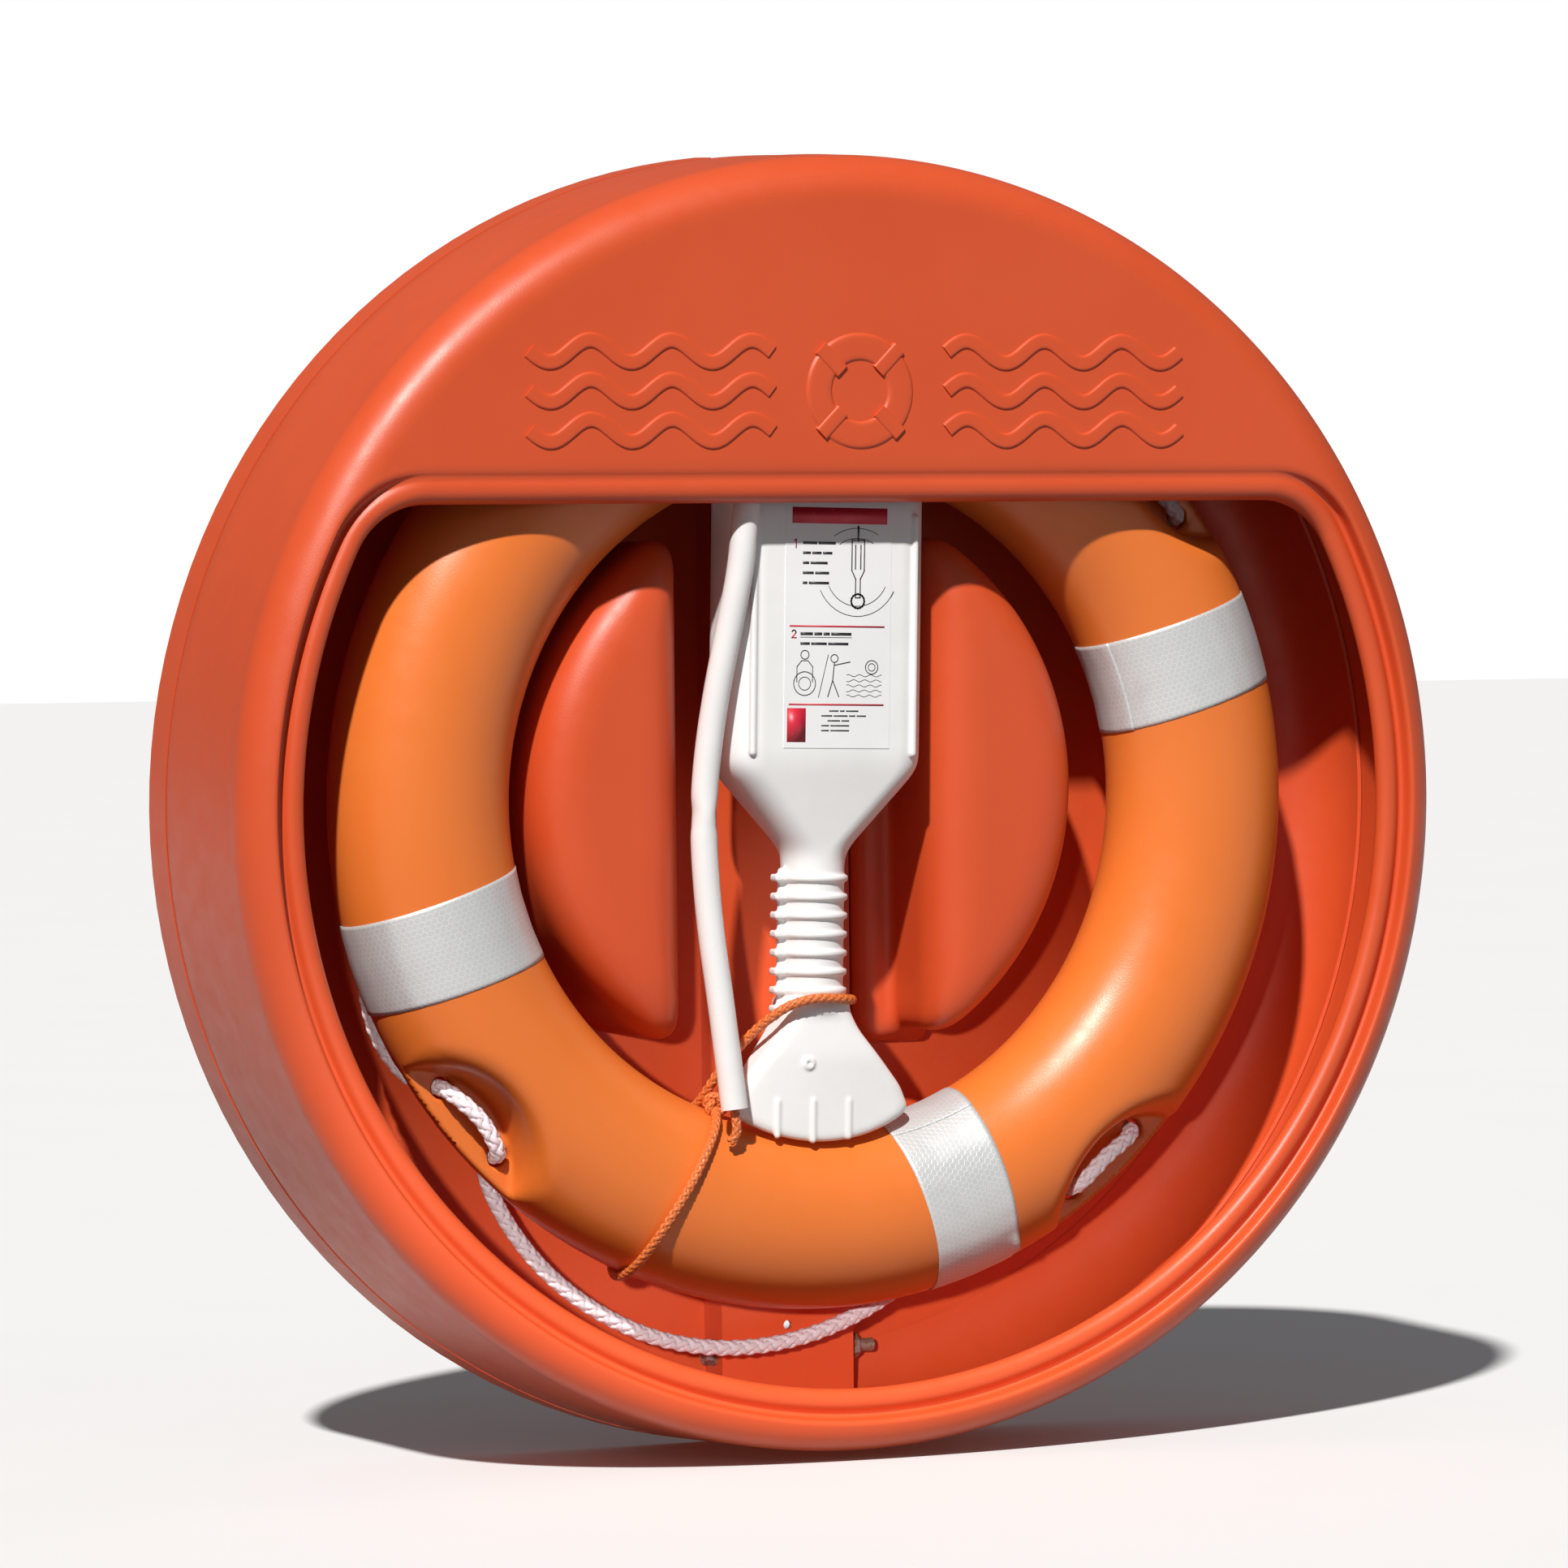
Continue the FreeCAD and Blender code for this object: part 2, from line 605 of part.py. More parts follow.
def make_tapes():
    """Four bands round the section, each cut square to the ring."""
    inner = ring_solid("TapeInside", 0)
    outer = ring_solid("TapeOutside", SIZE["tape_thickness"])
    band = cut("TapeBand", outer, inner)
    for i in range(4):
        slab = add("Part::Box", f"TapeSlab{i + 1}", Length="150", Width="120", Height="tape_width")
        turn = Placement(Vector(), Rotation(Y_AXIS, -(SIZE["tape_angle"] + 90 * i)))
        middle = SIZE["ring_outer_radius"] - SIZE["ring_half_width"]
        corner = Vector(middle - 75, -60, -SIZE["tape_width"] / 2)
        slab.Placement = turn.multiply(Placement(corner, Rotation()))
        node(hang(common(f"Tape{i + 1}", [band, slab])), f"reflective_tape_{i + 1}")


def make_grab_line():
    points = [ring_point(*place_on_ring) for place_on_ring in GRAB_ROUTE]
    radius = SIZE["grab_line_radius"]
    node(solid("GrabLine", tube("grab_line", points, radius)), "grab_line")
    top = (points[0] + points[-1]) / 2
    bore = radius + JOINT_CLEARANCE
    start = top.x - JOINT_HALF_LENGTH
    length = 2 * JOINT_HALF_LENGTH
    sleeve = cut(
        "GrabSleeve",
        cylinder_x("GrabSleeveOut", bore + JOINT_WALL, length, (start, top.y, top.z)),
        cylinder_x("GrabSleeveBore", bore, length + 2, (start - 1, top.y, top.z)),
    )
    node(sleeve, "grab_line_joint_sleeve")


# ------------------------------------------------------------------ line holder

def in_holder(thing):
    """Lean a piece that is built about the holder's own axis into its place."""
    thing.Placement = Placement(
        Vector(SIZE["holder_axis_x"], -SIZE["holder_axis_depth"], 0),
        Rotation(Y_AXIS, SIZE["holder_tilt"]),
    )
    return thing


def rounded_rectangle(width, thickness, corner, height):
    """A level loop with round corners, centred on the axis."""
    x, y = width / 2, thickness / 2
    block = Part.makeBox(width, thickness, 1, Vector(-x, -y, height))
    upright = [edge for edge in block.Edges if edge.BoundBox.ZLength > 0.5]
    block = block.makeFillet(corner, upright)
    bottom = min(block.Faces, key=lambda face: face.CenterOfMass.z)
    return bottom.OuterWire


def bottle_shape(inset, top):
    """The bottle above the handle: straight sides, then a shoulder down to the neck."""
    width = SIZE["holder_width"] - 2 * inset
    thickness = SIZE["holder_thickness"] - 2 * inset
    corner = BOTTLE_CORNER - inset
    shoulder = SIZE["holder_shoulder_top"]
    start = Part.Face(rounded_rectangle(width, thickness, corner, shoulder))
    sides = start.extrude(Vector(0, 0, top - shoulder))
    radius = SIZE["neck_radius"] - inset
    loops = [
        rounded_rectangle(width, thickness, corner, shoulder),
        rounded_rectangle(0.55 * width, 0.84 * thickness, 0.38 * thickness, shoulder - 35),
        rounded_rectangle(2 * radius, 2 * radius, radius - 0.5, SIZE["neck_top"]),
    ]
    return sides.fuse(Part.makeLoft(loops, True, True))


def fan_shape():
    """The paddle at the handle's end: a fan in front view, thin at its lower edge."""
    thick, reach = 60, 70
    left_points = [Vector(x, -thick / 2, z) for x, z in FAN_LEFT]
    right_points = [Vector(-p.x, p.y, p.z) for p in reversed(left_points)]
    left = Part.BSplineCurve()
    left.interpolate(left_points)
    right = Part.BSplineCurve()
    right.interpolate(right_points)
    bottom = Part.Arc(left_points[-1], Vector(0, -thick / 2, FAN_BOTTOM), right_points[0])
    top = Part.LineSegment(right_points[-1], left_points[0])
    wire = Part.Wire([left.toShape(), bottom.toShape(), right.toShape(), top.toShape()])
    plan = Part.Face(wire).extrude(Vector(0, thick, 0))
    side = Part.makePolygon([Vector(-reach, y, z) for y, z in FAN_SIDE + FAN_SIDE[:1]])
    return plan.common(Part.Face(side).extrude(Vector(2 * reach, 0, 0)))


def make_line_holder():
    top = SIZE["holder_top"]
    neck = SIZE["neck_radius"]
    outside = bottle_shape(0, top)
    handle = Part.makeCylinder(neck, SIZE["neck_top"] - HANDLE_BOTTOM + 1, Vector(0, 0, HANDLE_BOTTOM))
    solids = [handle, fan_shape()]
    for i in range(RIB_COUNT):
        foot = Vector(0, 0, RIB_START - RIB_PITCH * i)
        solids.append(Part.makeCylinder(SIZE["rib_radius"], RIB_HEIGHT, foot))
    body = outside.multiFuse(solids)
    body = body.cut(bottle_shape(SIZE["holder_wall"], top + 1))
    node(in_holder(solid("HolderBottle", body)), "holder_bottle")

    lid = Part.Face(rounded_rectangle(
        SIZE["holder_width"], SIZE["holder_thickness"], BOTTLE_CORNER, top,
    ))
    lid = lid.extrude(Vector(0, 0, CAP_THICKNESS))
    inset = SIZE["holder_wall"] + CAP_CLEARANCE
    skirt = Part.Face(rounded_rectangle(
        SIZE["holder_width"] - 2 * inset, SIZE["holder_thickness"] - 2 * inset,
        BOTTLE_CORNER - inset, top - CAP_SKIRT,
    ))
    skirt = skirt.extrude(Vector(0, 0, CAP_SKIRT))
    node(in_holder(solid("HolderCap", lid.fuse(skirt))), "holder_cap")

    pack_width, pack_thickness, pack_corner, pack_foot, pack_length = 108, 46, 18, 30, 138
    pack = Part.Face(rounded_rectangle(pack_width, pack_thickness, pack_corner, pack_foot))
    pack = pack.extrude(Vector(0, 0, pack_length))
    node(in_holder(solid("StoredLine", pack)), "stored_line")

    label_width, label_height = 68, 150
    label_corner = Vector(-32, -SIZE["holder_thickness"] / 2 - LABEL_THICKNESS, 33)
    label = Part.makeBox(label_width, LABEL_THICKNESS, label_height, label_corner)
    node(in_holder(solid("InstructionLabel", label)), "instruction_label")


def make_throw_line():
    sleeve_points = vectors(SLEEVE_ROUTE)
    outer = tube("line_sleeve", sleeve_points, SIZE["sleeve_radius"])
    bore = tube("sleeve bore", sleeve_points, SIZE["sleeve_bore"])
    node(solid("LineSleeve", outer.cut(bore)), "line_sleeve")
    radius = SIZE["throw_line_radius"]
    lead = tube("throw_line_lead", sleeve_points[4:] + vectors(LEAD_ROUTE), radius)
    node(solid("ThrowLineLead", lead), "throw_line_lead")
    lashing = tube("ring_lashing", [section_point(*point) for point in LASHING_ROUTE], radius)
    node(solid("RingLashing", lashing), "ring_lashing")
    tie = tube("handle_tie", vectors(TIE_ROUTE), radius)
    node(solid("HandleTie", tie), "handle_tie")


def check_and_write():
    doc.recompute()
    failed = [o.Label for o in doc.Objects if {"Invalid", "Error"} & set(o.State)]
    if failed:
        raise RuntimeError(f"these objects failed: {failed}")
    os.makedirs("parts", exist_ok=True)
    for thing in nodes:
        shape = thing.Shape
        if shape.isNull() or not shape.isValid():
            raise RuntimeError(f"{thing.Label} has no valid shape")
        box = shape.BoundBox
        print(f"{thing.Label}: {len(shape.Solids)} solids, {shape.Volume / 1000:.1f} cm3, "
              f"x {box.XMin:.0f}..{box.XMax:.0f} y {box.YMin:.0f}..{box.YMax:.0f} "
              f"z {box.ZMin:.0f}..{box.ZMax:.0f}")
        shape.exportStep(f"parts/{thing.Label}.step")


make_front_cover()
make_back_shell()
make_post_fasteners()
make_locator("left_ring_locator", -1, SIZE["boss_left_x"])
make_locator("right_ring_locator", 1, SIZE["boss_right_x"])
make_ring()
make_tapes()
make_grab_line()
make_line_holder()
make_throw_line()
check_and_write()
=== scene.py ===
from math import cos, pi, radians, sin, sqrt

import bpy
import numpy as np
from mathutils import Matrix, Vector


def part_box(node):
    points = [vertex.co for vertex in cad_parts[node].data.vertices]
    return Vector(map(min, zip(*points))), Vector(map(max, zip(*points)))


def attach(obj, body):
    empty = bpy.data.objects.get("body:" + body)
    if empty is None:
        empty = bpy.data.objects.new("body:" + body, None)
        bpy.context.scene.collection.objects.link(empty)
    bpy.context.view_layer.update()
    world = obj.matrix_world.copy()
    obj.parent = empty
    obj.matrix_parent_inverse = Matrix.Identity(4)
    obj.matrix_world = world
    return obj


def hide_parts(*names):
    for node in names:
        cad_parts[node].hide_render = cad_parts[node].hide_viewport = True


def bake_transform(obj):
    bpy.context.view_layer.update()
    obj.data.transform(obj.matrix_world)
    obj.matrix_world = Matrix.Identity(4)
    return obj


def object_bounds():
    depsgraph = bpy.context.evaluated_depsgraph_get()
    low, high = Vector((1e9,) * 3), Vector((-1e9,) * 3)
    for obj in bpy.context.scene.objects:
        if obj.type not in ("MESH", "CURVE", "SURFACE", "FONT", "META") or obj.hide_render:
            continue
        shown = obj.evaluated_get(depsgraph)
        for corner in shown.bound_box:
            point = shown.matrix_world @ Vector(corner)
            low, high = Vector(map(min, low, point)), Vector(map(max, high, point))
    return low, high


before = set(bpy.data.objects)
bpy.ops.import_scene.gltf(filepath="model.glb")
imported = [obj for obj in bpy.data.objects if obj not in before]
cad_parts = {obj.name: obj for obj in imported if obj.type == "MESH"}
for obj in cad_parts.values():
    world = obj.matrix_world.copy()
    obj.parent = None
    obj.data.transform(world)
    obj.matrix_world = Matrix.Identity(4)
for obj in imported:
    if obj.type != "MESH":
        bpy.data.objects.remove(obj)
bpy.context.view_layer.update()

# Metres. The front of the housing faces -Y, and depths are counted forward from its back.
MM = 0.001
ring_low, ring_high = (np.array(corner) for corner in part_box("ring_shell"))
RING_CENTRE = (ring_low + ring_high) / 2
RING_OUTER = (ring_high[0] - ring_low[0]) / 2
RING_HALF_WIDTH = 54 * MM
RING_HALF_DEPTH = (ring_high[1] - ring_low[1]) / 2
RING_MIDDLE = RING_OUTER - RING_HALF_WIDTH
HOLDER_AXIS = (-9 * MM, -100 * MM)
HOLDER_TILT = radians(1.4)
THROW_LINE_RADIUS = 3.1 * MM
THROW_LINE_PITCH = 20 * MM
GRAB_LINE_RADIUS = 5 * MM
GRAB_LINE_PITCH = 36 * MM
SLEEVE_RADIUS = 8 * MM
SLEEVE_WALL = 1.6 * MM
PATH_STEP = 4 * MM
TAPE_CELL = 3.6 * MM

# Where the free lines run, in millimetres: the control points of their splines.
SLEEVE_ROUTE = [
    (-63, -132, 178), (-65, -132, 160), (-68, -132, 136), (-74, -129, 104), (-81, -126, 68),
    (-86, -123, 32), (-88.5, -121.5, -2), (-88, -122, -36), (-85.5, -124, -74), (-81, -127, -114),
    (-77.5, -129, -148), (-74.5, -131, -178),
]
LEAD_ROUTE = [(-74.2, -131.8, -184), (-73.4, -132, -189.5), (-74.2, -131, -194.5), (-77, -129.8, -197.5)]
TIE_ROUTE = [
    (-75.6, -76.6, -178.1), (-74, -84, -172), (-69, -91, -160), (-62, -97.5, -148.5),
    (-54.5, -106, -137), (-46, -116, -126.5), (-36, -122.5, -118.8), (-24, -125.4, -115),
    (-12, -124.8, -114.8), (0, -122, -115.7), (9.5, -113.5, -117), (13, -101, -117.5),
    (9.5, -88.5, -117.5), (0, -79, -117), (-12, -75.4, -116.5), (-24, -78.5, -116.5),
]
# The lashing, as angle round the ring and turn round its section: 0 is the inner
# edge, 90 the front, 180 the outer edge.
LASHING_ROUTE = [
    (248.4, 14), (248.3, 30), (247.3, 48), (246.3, 66), (245.6, 84), (245, 102), (244.8, 120),
    (244.8, 138), (245, 156), (245.2, 174), (245.5, 192), (245.9, 212), (246.4, 232),
    (246.9, 252), (247.4, 272), (247.9, 292), (248.2, 312), (248.4, 330), (248.4, 344),
]
LASHING_GAP = 3.9 * MM
# The grab line, as angle round the ring, radius from its centre and depth.
GRAB_ROUTE = [
    (90.1, 311.6, 80), (94.5, 311.5, 80), (101, 312, 79), (108, 312.5, 75.5), (114.5, 311, 68),
    (119.5, 304.5, 59.5), (122.8, 295.5, 60), (124.4, 291, 72), (124.4, 291, 98),
    (127, 288, 104.5), (129.75, 286, 105.5), (132.5, 288, 104.5), (135.1, 291, 98),
    (135.1, 291, 70), (136.6, 291.5, 53), (139.8, 288.5, 44.5), (148, 271, 38.8), (156.5, 261, 36.5),
    (165.5, 257.5, 36), (174.5, 257, 36), (183, 260, 36.5), (190, 268.5, 39), (196, 280, 43.5),
    (201.5, 290, 46), (207, 297.5, 49), (212.4, 296.5, 56), (214.4, 291, 71), (214.4, 291, 98),
    (217, 288, 104.5), (219.75, 286, 105.5), (222.5, 288, 104.5), (225.1, 291, 98),
    (225.1, 291, 72), (226.6, 294.5, 60), (230, 303.5, 55.5), (235, 315, 58), (240.5, 325, 62),
    (246.5, 331.5, 65), (253, 335, 66), (259.5, 334, 66), (266, 329.5, 65), (272.5, 322, 63),
    (279, 312, 60), (285.5, 301, 54), (292, 294, 47), (298, 292, 44.5), (302.6, 292.5, 53),
    (304.4, 291, 70), (304.4, 291, 98), (307, 288, 104.5), (309.75, 286, 105.5),
    (312.5, 288, 104.5), (315.1, 291, 98), (315.1, 291, 70), (316.9, 292.5, 53), (321.5, 292, 44.5),
    (328.5, 291, 45), (336.5, 293, 47), (344.5, 292.5, 47.5), (352.5, 290, 46.5), (360.5, 289, 46.5),
    (368.5, 290, 46.5), (376, 291.5, 47), (383, 291.5, 45.5), (388.4, 292, 44.5), (392.6, 292.5, 53),
    (394.4, 291, 70), (394.4, 291, 98), (397, 288, 104.5), (399.75, 286, 105.5),
    (402.5, 288, 104.5), (405.1, 291, 98), (405.1, 291, 72), (406.7, 295, 60.5),
    (410.5, 303.5, 57), (416, 310, 62), (423, 312.5, 69.5), (430.5, 312.5, 75.5), (438, 312, 79),
    (445.2, 311.5, 80), (449.9, 311.6, 80),
]


# ---- materials

class Look:
    """A node material built in few words; inputs are numbers, colours or sockets."""

    def __init__(self, name, **sockets):
        self.material = bpy.data.materials.new(name)
        self.material.use_nodes = True
        self.tree = self.material.node_tree
        self.surface = self.tree.nodes["Principled BSDF"]
        self.set(self.surface, sockets)
        self.place = self.node("ShaderNodeTexCoord").outputs["Object"]

    def set(self, node, sockets):
        for key, value in sockets.items():
            socket = node.inputs[key if isinstance(key, int) else key.replace("_", " ")]
            if isinstance(value, bpy.types.NodeSocket):
                self.tree.links.new(value, socket)
            elif isinstance(value, tuple) and len(value) == 3 and len(socket.default_value) == 4:
                socket.default_value = (*value, 1)
            else:
                socket.default_value = value

    def node(self, kind, inputs=None, **settings):
        node = self.tree.nodes.new(kind)
        for key, value in settings.items():
            setattr(node, key, value)
        self.set(node, inputs or {})
        return node

    def noise(self, scale, detail=3, roughness=0.5, where=None):
        return self.node("ShaderNodeTexNoise", {
            "Vector": where or self.place, "Scale": scale, "Detail": detail, "Roughness": roughness,
        }).outputs["Fac"]

    def stretched(self, x, y, z, where=None):
        return self.node("ShaderNodeMapping", {"Vector": where or self.place, "Scale": (x, y, z)}).outputs[0]

    def math(self, operation, a, b=0.0, clamp=False):
        return self.node("ShaderNodeMath", {0: a, 1: b}, operation=operation, use_clamp=clamp).outputs[0]

    def off_centre(self, value, shift):
        """How far a value, moved by a shift, is from the middle of its unit cell."""
        share = self.math("FRACT", self.math("ADD", value, shift))
        return self.math("ABSOLUTE", self.math("SUBTRACT", share, 0.5))

    def ramp(self, value, low, high, start=0.0, end=1.0):
        """value between low and high becomes a number between start and end."""
        return self.node("ShaderNodeMapRange", {
            "Value": value, "From_Min": low, "From_Max": high, "To_Min": start, "To_Max": end,
        }).outputs[0]

    def mix(self, factor, first, second):
        return self.node("ShaderNodeMix", {0: factor, 6: first, 7: second}, data_type="RGBA").outputs[2]

    def bump(self, height, distance, strength=1.0, normal=None):
        inputs = {"Height": height, "Distance": distance, "Strength": strength}
        if normal is not None:
            inputs["Normal"] = normal
        return self.node("ShaderNodeBump", inputs).outputs[0]

    def done(self, **sockets):
        self.set(self.surface, sockets)
        return self.material


def moulded_plastic(name, colour, pale, roughness, grain=0.00012):
    """Coloured polyethylene: fine mould grain, slow waviness and a little chalking."""
    look = Look(name)
    cloud = look.noise(7, 4, 0.6)
    fine = look.noise(900, 2)
    slow = look.noise(26, 2)
    tone = look.mix(look.ramp(cloud, 0.3, 0.75), colour, pale)
    speck = look.ramp(look.noise(160, 5, 0.7), 0.72, 0.8)
    tone = look.mix(look.math("MULTIPLY", speck, 0.25), tone, tuple(0.6 * c + 0.3 for c in colour))
    rough = look.ramp(look.noise(55, 5, 0.65), 0.25, 0.75, roughness - 0.06, roughness + 0.07)
    soft = look.bump(slow, 0.0006, 0.35)
    return look.done(Base_Color=tone, Roughness=rough, Normal=look.bump(fine, grain, 0.5, soft))


def white_plastic(name, colour, roughness, scuff=0.0):
    """Natural white plastic, with black rubbed marks where scuff is above zero."""
    look = Look(name)
    cloud = look.noise(18, 4, 0.6)
    tone = look.mix(look.ramp(cloud, 0.3, 0.8), colour, tuple(0.9 * c for c in colour))
    if scuff:
        streaks = look.noise(55, 7, 0.75, look.stretched(1.0, 1.0, 0.3))
        patches = look.ramp(look.noise(11, 2), 0.5, 0.62)
        marks = look.math("MULTIPLY", look.ramp(streaks, 0.63, 0.68), patches, True)
        tone = look.mix(look.math("MULTIPLY", marks, scuff), tone, (0.05, 0.045, 0.05))
    dirt = look.ramp(look.noise(300, 6, 0.8), 0.66, 0.8, 0, 0.35)
    tone = look.mix(dirt, tone, (0.5, 0.46, 0.43))
    rough = look.ramp(look.noise(70, 4), 0.3, 0.7, roughness - 0.06, roughness + 0.08)
    normal = look.bump(look.noise(700, 2), 0.00006, 0.5, look.bump(look.noise(34, 2), 0.0005, 0.3))
    return look.done(Base_Color=tone, Roughness=rough, Normal=normal)


def tape_look(name):
    """Silver retroreflective tape: honeycomb seal lines over a fine bright pattern."""
    look = Look(name, Metallic=0.35)
    where = look.node("ShaderNodeTexCoord").outputs["UV"]
    parts = look.node("ShaderNodeSeparateXYZ", {0: where})
    x = look.math("DIVIDE", parts.outputs[0], TAPE_CELL)
    y = look.math("DIVIDE", parts.outputs[1], TAPE_CELL * sqrt(3))
    edges = []
    for shift in (0.0, 0.5):
        across = look.off_centre(x, shift)
        along = look.off_centre(y, shift)
        # distance from a hexagon's centre, with the same value on all six sides
        slant = look.math("ADD", look.math("MULTIPLY", across, 0.5), look.math("MULTIPLY", along, 1.5))
        edges.append(look.math("MAXIMUM", across, slant))
    nearest = look.math("MINIMUM", edges[0], edges[1])
    line = look.ramp(nearest, 0.43, 0.47)
    grain = look.noise(1500, 2, 0.6, where)
    cloud = look.noise(40, 5, 0.65, where)
    tone = look.mix(look.ramp(grain, 0.3, 0.7), (0.56, 0.57, 0.57), (0.72, 0.73, 0.73))
    tone = look.mix(look.math("MULTIPLY", line, 0.42), tone, (0.93, 0.94, 0.94))
    tone = look.mix(look.ramp(cloud, 0.55, 0.8, 0, 0.4), tone, (0.50, 0.48, 0.46))
    rough = look.ramp(cloud, 0.3, 0.8, 0.38, 0.55)
    height = look.math("ADD", look.math("MULTIPLY", line, 0.6), look.math("MULTIPLY", grain, 0.4))
    return look.done(Base_Color=tone, Roughness=rough, Normal=look.bump(height, 0.00012, 0.6))


def rope_look(name, colour, shade, roughness, gloss):
    """Twisted yarns: fine filaments along each strand with painted shade in the grooves between them, and a
    little grime in patches.
    """
    look = Look(name, Specular_IOR_Level=gloss)
    where = look.node("ShaderNodeTexCoord").outputs["UV"]
    yarn = look.noise(1.0, 3, 0.6, look.stretched(160, 2600, 1, where))
    cloud = look.noise(30, 3)
    # painted shade: the darker colour goes where the yarn bump is low, between the filaments
    tone = look.mix(look.ramp(yarn, 0.3, 0.75), shade, colour)
    tone = look.mix(look.ramp(cloud, 0.5, 0.8, 0, 0.35), tone, shade)
    return look.done(
        Base_Color=tone, Roughness=look.ramp(yarn, 0.2, 0.8, roughness - 0.1, roughness + 0.1),
        Normal=look.bump(yarn, 0.0004, 0.7),
    )


def rusty_steel():
    """Zinc-plated steel that is mostly covered by rust."""
    look = Look("rusty_steel")
    rust = look.ramp(look.noise(260, 6, 0.7), 0.42, 0.56)
    tone = look.mix(look.noise(900, 4), (0.16, 0.06, 0.03), (0.30, 0.13, 0.06))
    tone = look.mix(rust, (0.42, 0.40, 0.38), tone)
    return look.done(
        Base_Color=tone,
        Metallic=look.ramp(rust, 0, 1, 0.9, 0.1),
        Roughness=look.ramp(rust, 0, 1, 0.35, 0.85),
        Normal=look.bump(look.noise(700, 5, 0.7), 0.0002, 0.8),
    )


def plain_print(name, colour):
    """Ink, a little worn off."""
    look = Look(name)
    wear = look.ramp(look.noise(500, 5, 0.7), 0.62, 0.75, 0, 0.5)
    return look.done(
        Base_Color=look.mix(wear, colour, tuple(0.5 * c + 0.4 for c in colour)),
        Roughness=look.ramp(look.noise(90), 0.3, 0.7, 0.35, 0.5),
    )


HOUSING = moulded_plastic("housing_orange_red", (0.64, 0.077, 0.018), (0.67, 0.089, 0.024), 0.42)
RING = moulded_plastic("ring_orange", (0.80, 0.180, 0.026), (0.82, 0.20, 0.036), 0.36)
TAPE = tape_look("silver_tape")
HOLDER = white_plastic("holder_white", (0.93, 0.925, 0.92), 0.34)
SLEEVE = white_plastic("sleeve_white", (0.88, 0.865, 0.86), 0.3, 0.9)
LABEL = white_plastic("label_white", (0.93, 0.93, 0.94), 0.42)
GRAB_ROPE = rope_look("grab_line_white", (0.86, 0.80, 0.82), (0.70, 0.56, 0.60), 0.62, 0.4)
THROW_ROPE = rope_look("throw_line_orange", (0.86, 0.25, 0.055), (0.62, 0.12, 0.022), 0.34, 0.6)
STEEL = rusty_steel()
FOAM = moulded_plastic("foam_filling", (0.75, 0.66, 0.42), (0.8, 0.72, 0.5), 0.85, 0.0004)
PRINT_RED = plain_print("print_red", (0.62, 0.02, 0.045))
PRINT_BLACK = plain_print("print_black", (0.02, 0.02, 0.025))


# ---- mesh helpers

def piece(name, points, faces, material, body, uv=None, sharp=40):
    """A mesh from arrays, shaded smooth but for edges sharper than an angle.

    A piece that runs between two bodies has None for its body and is attached to none."""
    mesh = bpy.data.meshes.new(name)
    mesh.from_pydata(np.asarray(points).tolist(), [], [tuple(int(i) for i in face) for face in faces])
    mesh.validate()
    mesh.polygons.foreach_set("use_smooth", [True] * len(mesh.polygons))
    if sharp:
        mesh.set_sharp_from_angle(angle=radians(sharp))
    if uv is not None:
        layer = mesh.uv_layers.new(name="UVMap")
        corners = np.array([loop.vertex_index for loop in mesh.loops])
        layer.data.foreach_set("uv", np.asarray(uv)[corners].ravel())
    mesh.materials.append(material)
    thing = bpy.data.objects.new(name, mesh)
    bpy.context.scene.collection.objects.link(thing)
    if body:
        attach(thing, body)
    return thing


def grid_faces(rows, columns, close_rows=False, close_columns=False):
    """Quads of a grid whose points are numbered row by row."""
    faces = []
    for i in range(rows if close_rows else rows - 1):
        below = i * columns
        above = (i + 1) % rows * columns
        for j in range(columns if close_columns else columns - 1):
            k = (j + 1) % columns
            faces.append((below + j, below + k, above + k, above + j))
    return faces


def smooth_max(a, b, reach):
    """The larger of two, with a round corner where they meet."""
    near = np.maximum(reach - np.abs(a - b), 0)
    return np.maximum(a, b) + near * near / (4 * reach)


def smooth_min(a, b, reach):
    """The smaller of two, with a round corner where they meet."""
    return -smooth_max(-a, -b, reach)


def project(shape, points, rounds):
    """Move points onto the surface where shape is zero."""
    nudge = 0.05 * MM
    for _ in range(rounds):
        slope = np.empty_like(points)
        for axis in range(3):
            offset = np.zeros(3)
            offset[axis] = nudge
            slope[:, axis] = (shape(*(points + offset).T) - shape(*(points - offset).T)) / (2 * nudge)
        steep = np.maximum((slope ** 2).sum(1), 0.05)
        points = points - slope * (shape(*points.T) / steep)[:, None]
    return points


